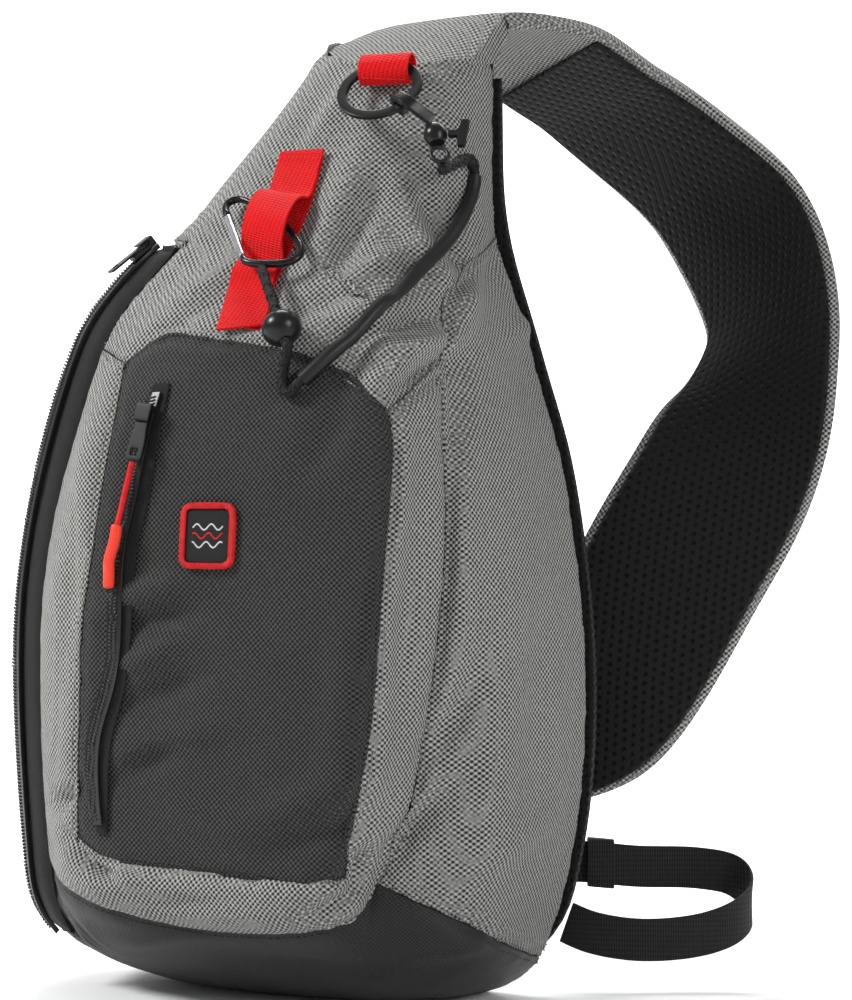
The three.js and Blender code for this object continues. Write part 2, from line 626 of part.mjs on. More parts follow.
// Strap: stations along its middle line. x, y, z in shares of HALF_WIDTH, BODY_DEPTH and
// BODY_HEIGHT; heading: turn of its width from +X in degrees; wide, thick: shares.
const STRAP = table(['x', 'y', 'z', 'heading', 'wide', 'thick'], [
  [0.354, -0.10, 0.974, 0, 0.90, 1.5],
  [0.307, 0.17, 1.005, 0, 0.96, 1.3],
  [0.473, 0.53, 0.995, 0, 1.00, 1.1],
  [0.606, 0.78, 0.962, 0, 1.00, 1.0],
  [0.712, 1.00, 0.929, -2, 1.00, 1.0],
  [0.920, 1.25, 0.866, -6, 1.00, 1.0],
  [1.035, 1.34, 0.818, -10, 1.00, 1.0],
  [1.130, 1.34, 0.765, -16, 0.98, 1.0],
  [1.200, 1.27, 0.706, -23, 0.97, 1.0],
  [1.205, 1.12, 0.639, -10, 0.97, 1.0],
  [1.180, 0.97, 0.582, 14, 1.00, 1.0],
  [1.120, 0.82, 0.514, 27, 1.03, 1.0],
  [1.025, 0.66, 0.443, 28, 1.03, 1.0],
  [0.880, 0.46, 0.332, 26, 1.00, 1.0],
  [0.750, 0.37, 0.270, 20, 0.90, 0.95],
  [0.640, 0.31, 0.225, 10, 0.55, 0.8],
]);

const strapTrack = Object.fromEntries(['x', 'y', 'z', 'heading', 'wide', 'thick'].map((name) => (
  [name, track(STRAP.map((row, i) => ({ ...row, at: i / (STRAP.length - 1) })), 'at', name)]
)));
function strapFrame(t) {
  const place = (q) => V(strapTrack.x(q) * HALF_WIDTH, strapTrack.y(q) * BODY_DEPTH, strapTrack.z(q) * BODY_HEIGHT);
  const step = 0.004;
  const along = place(Math.min(1, t + step)).sub(place(Math.max(0, t - step))).normalize();
  const heading = THREE.MathUtils.degToRad(strapTrack.heading(t));
  const wide = V(Math.cos(heading), Math.sin(heading), 0);
  wide.addScaledVector(along, -wide.dot(along)).normalize();
  const out = wide.clone().cross(along).normalize();
  return { place: place(t), along, wide, out, width: strapTrack.wide(t) * STRAP_WIDTH, thick: strapTrack.thick(t) };
}

// Closed solid through rings of points: capped flat at both ends, or round again to the first.
function loft(rings, ringed = false) {
  const count = rings[0].length;
  const points = rings.flat();
  const faces = [];
  for (let j = 0; j < rings.length - 1; j += 1) {
    for (let i = 0; i < count; i += 1) {
      const a = j * count + i;
      const b = j * count + ((i + 1) % count);
      faces.push([a, b, b + count], [a, b + count, a + count]);
    }
  }
  const last = (rings.length - 1) * count;
  for (let i = 0; i < count; i += 1) {
    const next = (i + 1) % count;
    if (ringed) faces.push([last + i, last + next, next], [last + i, next, i]);
    else if (i > 0 && i < count - 1) faces.push([0, i + 1, i], [last, last + i, last + i + 1]);
  }
  return solid(points, faces);
}

const inFrame = (frame, across, out) => (
  frame.place.clone().addScaledVector(frame.wide, across).addScaledVector(frame.out, out)
);
const STRAP_STEPS = 30;
const PAD_SECTION = [[0.5, 0.25], [0.47, 0.8], [0.36, 1], [0.12, 1], [-0.12, 1], [-0.36, 1], [-0.47, 0.8],
  [-0.5, 0.25], [-0.47, 0], [0, 0], [0.47, 0]];
const strapSeam = path(STRAP_SEAM);
const ROOT_SHARES = [0.01, 0.15, 0.28, 0.40, 0.60, 0.80, 0.93, 0.99];
const ROOT_LIFT = 1.2;
const rootRing = PAD_SECTION.map(([across], i) => {
  const [share, z] = strapSeam(i < ROOT_SHARES.length ? ROOT_SHARES[i] : clamp(0.5 - across, 0.02, 0.98));
  const p = onBody(share, z);
  if (i > 7) p.y = -SEAM_GAP;
  return p.setZ(z + SEAM_GAP / 2 + 0.1 + (i > 6 && i < 9 ? ROOT_LIFT : 0));
});
const ROOT_END = 0.035;
add('strap_pad', loft([rootRing, ...even(STRAP_STEPS).map((q) => {
  const frame = strapFrame(mix(ROOT_END, 1, q));
  const deep = (STRAP_THICK - STRAP_MESH) * frame.thick;
  return PAD_SECTION.map(([across, out]) => inFrame(frame, across * frame.width, deep * (out - 0.4)));
})]), GREY);
const LINING_SECTION = [[-0.46, -0.03], [0, -0.03], [0.46, -0.03], [0.44, -0.8], [0.3, -1], [-0.3, -1], [-0.44, -0.8]];
const LINING_START = 4;
add('strap_lining', loft(even(STRAP_STEPS).slice(LINING_START).map((q) => {
  const frame = strapFrame(mix(ROOT_END, 1, q));
  const deep = (STRAP_THICK - STRAP_MESH) * frame.thick;
  return LINING_SECTION.map(([across, out]) => (
    inFrame(frame, across * frame.width, -0.4 * deep - FIT_GAP + out * STRAP_MESH)
  ));
})), BLACK);

// Sweeps along points: `out` is the way the section's second axis faces.
const round = (radius, sides) => Array.from({ length: sides }, (_, i) => {
  const turn = (2 * Math.PI * i) / sides;
  return [radius * Math.cos(turn), radius * Math.sin(turn)];
});
const slab = (width, thick) => [[width / 2, -thick / 2], [width / 2, thick / 2], [-width / 2, thick / 2],
  [-width / 2, -thick / 2]];
function sweep(points, section, out, ringed = false) {
  const count = points.length;
  return loft(points.map((p, i) => {
    const before = points[ringed ? (i + count - 1) % count : Math.max(0, i - 1)];
    const after = points[ringed ? (i + 1) % count : Math.min(count - 1, i + 1)];
    const along = after.clone().sub(before).normalize();
    const face = (Array.isArray(out) ? out[i] : out).clone();
    face.addScaledVector(along, -face.dot(along)).normalize();
    const side = along.clone().cross(face);
    const shape = typeof section === 'function' ? section(i / (count - 1)) : section;
    return shape.map(([a, b]) => p.clone().addScaledVector(side, a).addScaledVector(face, b));
  }), ringed);
}
// Webbing: `side` is the way its width runs.
function webbing(points, side, width, thick, ringed = false) {
  const count = points.length;
  const faces = points.map((p, i) => {
    const before = points[ringed ? (i + count - 1) % count : Math.max(0, i - 1)];
    const after = points[ringed ? (i + 1) % count : Math.min(count - 1, i + 1)];
    return (Array.isArray(side) ? side[i] : side).clone().cross(after.clone().sub(before)).normalize();
  });
  return sweep(points, slab(width, thick), faces, ringed);
}
const curve = (points, steps, ringed = false) => (
  new THREE.CatmullRomCurve3(points, ringed, 'centripetal').getSpacedPoints(steps)
);

// Seats for fittings: a place on the panels, with its level, upward and outward directions.
const REACH = 25;
const ray = new THREE.Raycaster();
function touch(panels, point, out) {
  ray.set(point.clone().addScaledVector(out, REACH), out.clone().negate());
  ray.far = 3 * REACH;
  const hit = ray.intersectObjects(panels)[0];
  return hit ? hit.point : point.clone();
}
const named = (...names) => names.map((name) => group.getObjectByName(name));
const bodyPanels = named('right_gusset', 'upper_front_panel', 'pocket_panel', 'pocket_gusset');
function rest([share, z], height, panels = bodyPanels) {
  const out = bodyNormal(share, z);
  return touch(panels, onBody(share, z), out).addScaledVector(out, height);
}
function seat([share, z], panels = bodyPanels) {
  const out = bodyNormal(share, z);
  const across = V(-out.y, out.x, 0).normalize();
  return { place: touch(panels, onBody(share, z), out), across, upward: out.clone().cross(across), out };
}
function spun({ place, across, upward, out }, degrees) {
  const turn = THREE.MathUtils.degToRad(degrees);
  const spin = (v) => v.clone().applyAxisAngle(out, turn);
  return { place, across: spin(across), upward: spin(upward), out };
}
function leaned({ place, across, upward, out }, degrees) {
  const turn = THREE.MathUtils.degToRad(degrees);
  const lean = (v) => v.clone().applyAxisAngle(across, turn);
  return { place, across, upward: lean(upward), out: lean(out) };
}
const inSeat = (s, x, y, h) => (
  s.place.clone().addScaledVector(s.across, x).addScaledVector(s.upward, y).addScaledVector(s.out, h)
);
// How far a flat piece has to stand off so that its whole back clears the panels.
function clearance(s, halfWidth, halfHeight, panels = bodyPanels) {
  let most = 0;
  [-1, -0.5, 0, 0.5, 1].forEach((a) => [-1, -0.5, 0, 0.5, 1].forEach((b) => {
    const point = touch(panels, inSeat(s, a * halfWidth, b * halfHeight, 0), s.out);
    most = Math.max(most, point.sub(s.place).dot(s.out));
  }));
  return most;
}
// Flat plate with holes, its outline in the seat's level and upward directions.
function plate(s, outlinePoints, thick, height, holes = []) {
  const rim = outlinePoints.map(([x, y]) => new THREE.Vector2(x, y));
  const shape = new THREE.Shape(THREE.ShapeUtils.isClockWise(rim) ? rim.reverse() : rim);
  holes.forEach((hole) => shape.holes.push(new THREE.Path(hole.map(([x, y]) => new THREE.Vector2(x, y)))));
  const geometry = new THREE.ExtrudeGeometry(shape, { depth: thick, bevelEnabled: false, steps: 1 });
  const place = inSeat(s, 0, 0, height);
  return geometry.applyMatrix4(new THREE.Matrix4().makeBasis(s.across, s.upward, s.out).setPosition(place));
}
function roundedBox(width, height, radius, steps = 3) {
  const corners = [[1, 1, 0], [-1, 1, 90], [-1, -1, 180], [1, -1, 270]];
  return corners.flatMap(([x, y, from]) => Array.from({ length: steps + 1 }, (_, i) => {
    const turn = THREE.MathUtils.degToRad(from + (90 * i) / steps);
    return [x * (width / 2 - radius) + radius * Math.cos(turn), y * (height / 2 - radius) + radius * Math.sin(turn)];
  }));
}

const RED = 0xd81f20;
const GRIP_RED = 0xe8402a;
const HARDWARE = 0x1a1a1b;
const SILVER = 0xb9bcc0;

// Label: a bare black field inside a stitched red border, on the pocket.
const LABEL_WIDTH = 29;
const LABEL_HEIGHT = 30.5;
const LABEL_RIM = 2.8;
const labelSeat = seat(atX(0.089, 0.474), named('pocket_panel'));
const labelStand = clearance(labelSeat, LABEL_WIDTH / 2, LABEL_HEIGHT / 2, named('pocket_panel')) + FIT_GAP;
const labelHole = roundedBox(LABEL_WIDTH - 2 * LABEL_RIM, LABEL_HEIGHT - 2 * LABEL_RIM, 2.6);
add('label_border', plate(labelSeat, roundedBox(LABEL_WIDTH, LABEL_HEIGHT, 5.5), 2, labelStand, [labelHole]), RED);
add('label_patch', plate(labelSeat, roundedBox(
  LABEL_WIDTH - 2 * LABEL_RIM - 2 * FIT_GAP,
  LABEL_HEIGHT - 2 * LABEL_RIM - 2 * FIT_GAP,
  2.3,
), 1.2, labelStand), BLACK);

// Pocket zip. up: share of BODY_HEIGHT. at: X as a share of HALF_WIDTH. open: half width shown.
const POCKET_ZIP = table(['up', 'at', 'open'], [
  [0.180, -0.335, 3.0], [0.210, -0.343, 5.5], [0.250, -0.343, 7.0], [0.284, -0.322, 7.5],
  [0.322, -0.272, 7.0], [0.362, -0.236, 6.5], [0.413, -0.233, 7.0], [0.460, -0.228, 7.5],
  [0.502, -0.200, 8.0], [0.561, -0.170, 7.0], [0.600, -0.150, 5.5], [0.622, -0.140, 4.5],
]);
const zipAt = track(POCKET_ZIP, 'up', 'at');
const zipOpen = track(POCKET_ZIP, 'up', 'open');
const ZIP_STAND = 0.45;
function strip(from, to, steps, columns, wide, low, high, panels) {
  const grid = even(steps).map((t) => columns.map((s) => {
    const up = mix(from, to, t);
    return atX(zipAt(up) + (s * wide(up)) / HALF_WIDTH, up);
  }));
  const lay = (height) => grid.map((line) => line.map((spot) => rest(spot, height, panels)));
  return solidBetween(lay(high), lay(low));
}
add('pocket_zip_tape', strip(0.180, 0.622, 20, [1, 0.4, -0.4, -1], zipOpen, ZIP_STAND, ZIP_STAND + 1.1,
  named('pocket_panel')), BLACK);
const tapeMesh = named('pocket_zip_tape');
add('pocket_zip_coil', strip(0.190, 0.612, 26, [1, 0, -1], () => 2.4, 0.35, 1.9, tapeMesh), BLACK);

// Zip sliders: a base with a hooked bridge that holds the pull tab's top bar.
const SLIDER_WIDTH = 8;
function slider(s, height) {
  const side = { place: s.place, across: s.upward, upward: s.out, out: s.across };
  side.place = inSeat(s, -SLIDER_WIDTH / 2, 0, height);
  return plate(side, [[-7, 0], [7, 0], [7, 5.2], [-1.5, 5.2], [-1.5, 4.1], [4, 4.1], [4, 2.2], [-7, 2.2]],
    SLIDER_WIDTH, 0);
}
const PULL_TAB = [[-3.2, 3.7], [3.2, 3.7], [3.2, -6], [4.4, -9], [4.4, -19], [3.4, -20], [-3.4, -20], [-4.4, -19],
  [-4.4, -9], [-3.2, -6]];
const PULL_HOLE = [[-2, -14.5], [2, -14.5], [2, -17.8], [-2, -17.8]];
const pullTab = (s, height) => plate(s, PULL_TAB, 1.2, height + 2.55, [PULL_HOLE]);
const pocketSlider = spun(seat(atX(-0.161, 0.584), named('pocket_zip_coil')), -7);
const pocketSliderStand = clearance(pocketSlider, 2, 7, named('pocket_zip_coil')) + FIT_GAP;
add('pocket_zip_slider', slider(pocketSlider, pocketSliderStand), HARDWARE, 0.45, 0.3);
add('pocket_pull_tab', pullTab(pocketSlider, pocketSliderStand), HARDWARE, 0.45, 0.3);
const mainZipSpot = (up) => [mix(onSeam(zipSeamX, up)[0], zipOuter(up)[0], 0.5), lift(up)];
const mainSlider = seat(mainZipSpot(0.758), named('main_zip_coil'));
const mainSliderStand = clearance(mainSlider, 3, 7, named('main_zip_coil')) + FIT_GAP;
add('main_zip_slider', slider(mainSlider, mainSliderStand), HARDWARE, 0.45, 0.3);
add('main_pull_tab', pullTab(mainSlider, mainSliderStand), HARDWARE, 0.45, 0.3);

// Pocket zip's red pull cord and its moulded grip, hanging over the pocket.
const pullTop = inSeat(pocketSlider, 0, -20, pocketSliderStand + 3.1);
const pocketFront = named('pocket_panel', 'pocket_zip_tape', 'pocket_zip_coil');
const pullWay = [pullTop.clone().addScaledVector(pocketSlider.upward, -0.8), rest(atX(-0.206, 0.512), 3.4, pocketFront),
  rest(atX(-0.214, 0.497), 3.8, pocketFront), rest(atX(-0.219, 0.4850), 4.6, pocketFront)];
add('pull_cord', sweep(curve(pullWay, 8), round(1.4, 6), labelSeat.out), RED);
const GRIP_WAY = [[-0.222, 0.4835], [-0.223, 0.474], [-0.232, 0.462], [-0.246, 0.448], [-0.252, 0.436], [-0.252, 0.422]];
add('pull_grip', sweep(
  curve(GRIP_WAY.map(([x, up]) => rest(atX(x, up), 4.9, pocketFront)), 10),
  round(2.9, 8),
  labelSeat.out,
), GRIP_RED, 0.6);

// Red webbing on the upper panel: a base strip under a strip that stands out in loops.
// x: mm, share of HALF_WIDTH after division. up: share of BODY_HEIGHT. high: off the panel.
const WEB_WIDTH = 24;
const WEB_THICK = 1.4;
const WEB_SKEW = -15;
const DAISY = table(['x', 'up', 'high'], [
  [0.116, 0.858, 3.2], [0.115, 0.834, 3.2], [0.113, 0.813, 3.2], [0.112, 0.808, 6.4],
  [0.110, 0.804, 11.0], [0.106, 0.794, 14.3], [0.102, 0.780, 15.2], [0.097, 0.766, 14.2],
  [0.094, 0.754, 11.5], [0.092, 0.747, 7.0], [0.091, 0.7425, 4.2], [0.090, 0.738, 3.8],
  [0.087, 0.733, 5.0], [0.085, 0.727, 5.8], [0.084, 0.721, 5.0], [0.085, 0.7155, 4.0],
  [0.088, 0.710, 3.9], [0.102, 0.690, 3.9], [0.114, 0.672, 3.9],
]);
const upperPanel = named('upper_front_panel');
const daisySeat = seat(atX(0.045, 0.77), upperPanel);
const daisySide = spun(daisySeat, WEB_SKEW).across;
const onDaisy = ({ x, up }, high) => rest(atX(x, up), high, upperPanel);
add('daisy_loops', webbing(DAISY.map((row) => onDaisy(row, row.high)), daisySide, WEB_WIDTH, WEB_THICK), RED);
const daisyFlat = track(DAISY.map((row) => ({ ...row, down: -row.up })), 'down', 'x');
const skewLevel = Math.cos(THREE.MathUtils.degToRad(WEB_SKEW));
const skewRise = Math.sin(THREE.MathUtils.degToRad(WEB_SKEW)) * daisySeat.upward.z;
const BASE_LOW = 0.6;
const daisyGrid = even(14).map((t) => {
  const up = mix(0.856, 0.676, t);
  return [0.48, 0, -0.48].map((s) => {
    const away = s * WEB_WIDTH;
    return atX(daisyFlat(-up) + (away * skewLevel) / HALF_WIDTH, up + (away * skewRise) / BODY_HEIGHT);
  });
});
const layDaisy = (height) => daisyGrid.map((line) => line.map((spot) => rest(spot, height, upperPanel)));
add('daisy_base', solidBetween(layDaisy(BASE_LOW + 1.3), layDaisy(BASE_LOW)), RED);

// Carabiner: wire bent in one plane, hung in the upper loop, with a straight sprung gate.
const CARABINER_WIRE = 2.15;
const GATE_RADIUS = 1.8;
const CARABINER = [[-14.6, 6.3], [-18.4, 12.1], [-18.6, 17.2], [-14.5, 20.3], [-6, 17.4], [4, 11], [13.9, 4.2],
  [23.8, -5.2], [31.4, -14], [33, -20.5], [29.5, -25], [21.5, -26.9], [11, -27.2], [7.2, -26], [5.4, -23.4]];
const SPINE_LEVEL = 0.803;
const SPINE_RISE = -0.596;
const CARABINER_ROLL = -12;
function rolled(s, level, rise, degrees) {
  const axis = s.across.clone().multiplyScalar(level).addScaledVector(s.upward, rise).normalize();
  const turn = THREE.MathUtils.degToRad(degrees);
  const roll = (v) => v.clone().applyAxisAngle(axis, turn);
  return { place: s.place, across: roll(s.across), upward: roll(s.upward), out: roll(s.out) };
}
const carabinerSeat = rolled(leaned(seat(atX(0.015, 0.767), upperPanel), -6), SPINE_LEVEL, SPINE_RISE, CARABINER_ROLL);
const CARABINER_STAND = 9.1;
const carabinerWay = CARABINER.map(([x, y]) => inSeat(carabinerSeat, x, y, CARABINER_STAND));
const carabinerPath = curve(carabinerWay, 32);
add('carabiner_body', sweep(carabinerPath, round(CARABINER_WIRE, 7), carabinerSeat.out), HARDWARE, 0.35, 0.2);
const gateFrom = carabinerPath[carabinerPath.length - 1];
const gateTo = carabinerPath[0];
const gateLine = gateTo.clone().sub(gateFrom).normalize();
const GATE_GAP = 0.5;
const gateEnds = [gateFrom.clone().addScaledVector(gateLine, GATE_GAP), gateTo.clone().addScaledVector(gateLine, -GATE_GAP)];
add('carabiner_gate', sweep(gateEnds, round(GATE_RADIUS, 10), carabinerSeat.out), SILVER, 0.3, 0.9);

// Top loop: red webbing folded into a tube at the strap's seam. y, h in mm off the panel.
const TUBE_HALF = 12.5;
const TUBE = { y: 5.2, h: 7.6, long: 7.6, high: 6.2 };
const topSeat = seat(atX(0.350, 0.925), upperPanel);
const tubeArc = [-25, 0, 25, 50, 75, 100, 125, 150, 175, 200, 225, 250, 270].map((degrees) => {
  const turn = THREE.MathUtils.degToRad(degrees);
  return [TUBE.y + TUBE.long * Math.cos(turn), TUBE.h + TUBE.high * Math.sin(turn)];
});
const tubeWay = [[10, 2.7], ...tubeArc, [10, 1.1]].map(([y, h]) => inSeat(topSeat, 2, y, h));
add('top_loop', webbing(tubeWay, topSeat.across, 2 * TUBE_HALF, 1.3), RED);

// Ring: flat black band through the tube, leaning out from the bag.
const RING_RADIUS = 18.5;
const RING_BAND = 5;
const RING_THICK = 2.5;
const ringSeat = leaned(topSeat, -12);
const ringTop = inSeat(topSeat, 2, 8.2, 7.4);
const ringCentre = ringTop.clone().addScaledVector(ringSeat.upward, -RING_RADIUS);
const ringFrame = { ...ringSeat, place: ringCentre };
const ringAt = (degrees, radius = RING_RADIUS, height = 0) => {
  const turn = THREE.MathUtils.degToRad(degrees);
  return inSeat(ringFrame, radius * Math.cos(turn), radius * Math.sin(turn), height);
};
const ringPath = Array.from({ length: 28 }, (_, i) => ringAt((360 * i) / 28));
add('ring', sweep(ringPath, slab(RING_BAND, RING_THICK), ringFrame.out, true), HARDWARE, 0.4, 0.1);

// Snap hook: hooked over the ring's lower right, with a sprung lever and an eye for the lanyard.
const HOOK_AT = -39;
const hookEnd = inSeat(topSeat, 30.5, -28, 9);
const hookWay = [ringAt(HOOK_AT, RING_RADIUS + 0.5, -3.8), ringAt(HOOK_AT, RING_RADIUS - 3.9, -3.4),
  ringAt(HOOK_AT, RING_RADIUS - 5.5, 0), ringAt(HOOK_AT, RING_RADIUS - 3.9, 3.4),
  ringAt(HOOK_AT, RING_RADIUS, 4.0), ringAt(HOOK_AT, RING_RADIUS + 5, 4.0)];
const hookTurn = hookWay[hookWay.length - 1].clone().lerp(hookEnd, 0.5);
const hookPath = curve([...hookWay, hookTurn, hookEnd], 16);
const hookSide = ringAt(HOOK_AT + 90, 1, 0).sub(ringCentre);
add('snap_hook', webbing(hookPath, hookSide, 5.5, 3.4), HARDWARE, 0.5, 0.1);
const hookAlong = inSeat(topSeat, 35, -42, 7).sub(hookEnd).normalize();
const hookOut = topSeat.out;
const barrelFrom = hookEnd.clone().addScaledVector(hookAlong, 2.9);
const barrelTo = barrelFrom.clone().addScaledVector(hookAlong, 10);
add('hook_swivel', sweep(
  even(6).map((t) => barrelFrom.clone().lerp(barrelTo, t)),
  (t) => round(4 + 2 * Math.sin(Math.PI * t), 10),
  hookOut,
), HARDWARE, 0.4, 0.1);

const leverSide = topSeat.across;
const leverFrom = barrelFrom.clone().addScaledVector(hookAlong, 5).addScaledVector(leverSide, 6.4);
const leverTo = leverFrom.clone().addScaledVector(leverSide, 9);
const LEVER = [[0, 1.6], [0.55, 1.6], [0.62, 7.5], [1, 7.5]];
add('hook_lever', sweep(
  LEVER.map(([t], i) => leverFrom.clone().lerp(leverTo, t).addScaledVector(leverSide, i * 0.01)),
  (t) => slab(2 * LEVER[Math.round(t * (LEVER.length - 1))][1], 3),
  hookOut,
), HARDWARE, 0.5, 0.1);
const eyeTop = barrelTo.clone().addScaledVector(hookAlong, 0.7);
const EYE_RADIUS = 4.2;
const eyeCentre = eyeTop.clone().addScaledVector(hookAlong, EYE_RADIUS + 1.3);
const eyePath = Array.from({ length: 16 }, (_, i) => {
  const turn = (2 * Math.PI * i) / 16;
  return eyeCentre.clone().addScaledVector(hookAlong, -EYE_RADIUS * Math.cos(turn))
    .addScaledVector(leverSide, EYE_RADIUS * Math.sin(turn));
});
add('hook_eye', sweep(eyePath, round(1.3, 6), hookOut, true), HARDWARE, 0.4, 0.1);

// Lanyard: cord from the hook's eye, a rubber sleeve, a bend, a bead, and cord to the carabiner.
const CORD_RADIUS = 2.4;
const SLEEVE_RADIUS = 3.5;
const BEAD_RADIUS = 8.5;
const CORD_GAP = 0.7;
const cordFrom = eyeCentre.clone().addScaledVector(hookAlong, EYE_RADIUS + 2.8 + CORD_GAP);
const SLEEVE_WAY = [atDepth(0.245, 0.850), atDepth(0.249, 0.828), atDepth(0.320, 0.799), atDepth(0.458, 0.767),
  atDepth(0.642, 0.737), atX(0.546, 0.703), atX(0.515, 0.675), atX(0.464, 0.651), atX(0.376, 0.619)];
const sleeveStand = SLEEVE_RADIUS + 1.1;
const SHARE_SCALE = 3 * HALF_WIDTH;
function laid(spots, steps, height) {
  const flat = new THREE.SplineCurve(spots.map(([share, z]) => new THREE.Vector2(share * SHARE_SCALE, z)));
  return flat.getSpacedPoints(steps).map((p) => rest([p.x / SHARE_SCALE, p.y], height));
}
const sleevePath = laid(SLEEVE_WAY, 22, sleeveStand);
const sleeveEnd = sleevePath[sleevePath.length - 1];
const sleeveIn = sleevePath[0].clone().sub(sleevePath[1]).normalize();
const sleeveOut = sleeveEnd.clone().sub(sleevePath[sleevePath.length - 2]).normalize();
const cordTop = [cordFrom, cordFrom.clone().addScaledVector(hookAlong, 3),
  sleevePath[0].clone().addScaledVector(sleeveIn, 5), sleevePath[0].clone().addScaledVector(sleeveIn, 2.3)];
add('lanyard_top_cord', sweep(curve(cordTop, 8), round(CORD_RADIUS, 8), topSeat.out), BLACK);
add('lanyard_sleeve', sweep(sleevePath, round(SLEEVE_RADIUS, 8), topSeat.out), HARDWARE, 0.75);
const beadCentre = rest(atX(0.290, 0.662), BEAD_RADIUS + 2.6);
const carabinerFoot = inSeat(carabinerSeat, 18, -26.9 - CARABINER_WIRE - 1.6, CARABINER_STAND);
const beadAxis = carabinerFoot.clone().sub(beadCentre).normalize();
const beadIn = beadCentre.clone().addScaledVector(beadAxis, -BEAD_RADIUS - CORD_GAP);
const bendWay = [sleeveEnd.clone().addScaledVector(sleeveOut, CORD_GAP), sleeveEnd.clone().addScaledVector(sleeveOut, 3),
  rest(atX(0.345, 0.608), 3.6), rest(atX(0.318, 0.613), 3.6), rest(atX(0.310, 0.628), 4.6),
  beadIn.clone().addScaledVector(beadAxis, -3), beadIn];
add('lanyard_low_cord', sweep(curve(bendWay, 18), round(CORD_RADIUS, 8), labelSeat.out), BLACK);
const beadRings = [-1, -0.9, -0.55, 0, 0.55, 0.9, 1].map((t) => (
  [t * BEAD_RADIUS, BEAD_RADIUS * 1.18 * Math.sqrt(Math.max(0.09, 1 - t * t))]
));
add('lanyard_bead', sweep(
  beadRings.map(([along]) => beadCentre.clone().addScaledVector(beadAxis, along)),
  (t) => round(beadRings[Math.round(t * (beadRings.length - 1))][1], 14),
  labelSeat.out,
), HARDWARE, 0.35);
const beadOut = beadCentre.clone().addScaledVector(beadAxis, BEAD_RADIUS + CORD_GAP);
add('lanyard_end_cord', sweep(curve([beadOut, beadOut.clone().lerp(carabinerFoot, 0.5), carabinerFoot], 6),
  round(CORD_RADIUS, 8), labelSeat.out), BLACK);

// Webbing loop behind the lower right corner. x, y, z: shares of HALF_WIDTH, BODY_DEPTH and
// BODY_HEIGHT. lean: how far its width leans over from upright, in degrees.
const LOOP = table(['x', 'y', 'z', 'lean'], [
  [0.700, 0.322, 0.1300, 0], [0.820, 0.339, 0.1301, 0], [0.945, 0.441, 0.1252, 0], [1.141, 0.576, 0.1229, 0],
  [1.259, 0.610, 0.1157, 0], [1.345, 0.520, 0.0930, 0], [1.338, 0.356, 0.0771, 0], [1.250, 0.237, 0.0659, 0],
  [1.073, 0.119, 0.0610, 0], [0.909, 0.068, 0.0674, 0], [0.824, 0.064, 0.0761, 0],
]);
const LOOP_WIDTH = 20.5;
const LOOP_THICK = 1.6;
const loopWay = curve(LOOP.map(({ x, y, z }) => V(x * HALF_WIDTH, y * BODY_DEPTH, z * BODY_HEIGHT)), 40);
add('webbing_loop', webbing(loopWay, V(0, 0, 1), LOOP_WIDTH, LOOP_THICK), BLACK);
const keeperAt = loopWay[4];
const keeperAlong = loopWay[5].clone().sub(loopWay[3]).normalize();
const keeperAcross = keeperAlong.clone().cross(V(0, 0, 1)).normalize();
const keeperPath = roundedBox(LOOP_WIDTH + 3, 5.0, 1.4, 2).map(([z, y]) => (
  keeperAt.clone().addScaledVector(keeperAcross, y).add(V(0, 0, z))
));
add('webbing_keeper', webbing(keeperPath, keeperAlong, 13, 1.1, true), BLACK);

// Plain hidden buckle between the strap's foot and the webbing.
const footFrame = strapFrame(1);
const BUCKLE_THICK = 4;
const footLeft = inFrame(footFrame, -0.40 * footFrame.width, 0);
const footRight = inFrame(footFrame, 0.42 * footFrame.width, 0);
const buckleFloor = loopWay[0].z + LOOP_WIDTH / 2 + 0.5;
const buckleTop = (x) => mix(footRight.z, footLeft.z, (footRight.x - x) / (footRight.x - footLeft.x)) - 1.6;
const buckleFrame = { place: V(0, loopWay[1].y, 0), across: V(1, 0, 0), upward: V(0, 0, 1), out: V(0, -1, 0) };
const buckleLeft = loopWay[0].x + 1;
const buckleRight = footRight.x - 1;
add('strap_buckle', plate(buckleFrame, [[buckleLeft, buckleFloor], [buckleRight, buckleFloor],
  [buckleRight, buckleTop(buckleRight)], [buckleLeft, buckleTop(buckleLeft)]], BUCKLE_THICK, -BUCKLE_THICK / 2), HARDWARE, 0.5);

// The origin is on the floor, a quarter of the bag's depth in front of its back panel.
const ORIGIN_SHARE = 0.25;
group.children.forEach((mesh) => mesh.geometry.translate(0, ORIGIN_SHARE * BODY_DEPTH, 0));

export default group;
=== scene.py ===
# %% [markdown]
# # A fishing tackle sling bag
# The bag stands on its base with its shoulder strap arching behind it. The packed model is the
# frame: every piece here is made in the same metres and the same place as its solid, so nothing
# is fitted by eye. First we load it.

# %% Load the frame
import math

import bmesh
import bpy
import numpy as np
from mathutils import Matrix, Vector
from mathutils.bvhtree import BVHTree
from mathutils.kdtree import KDTree


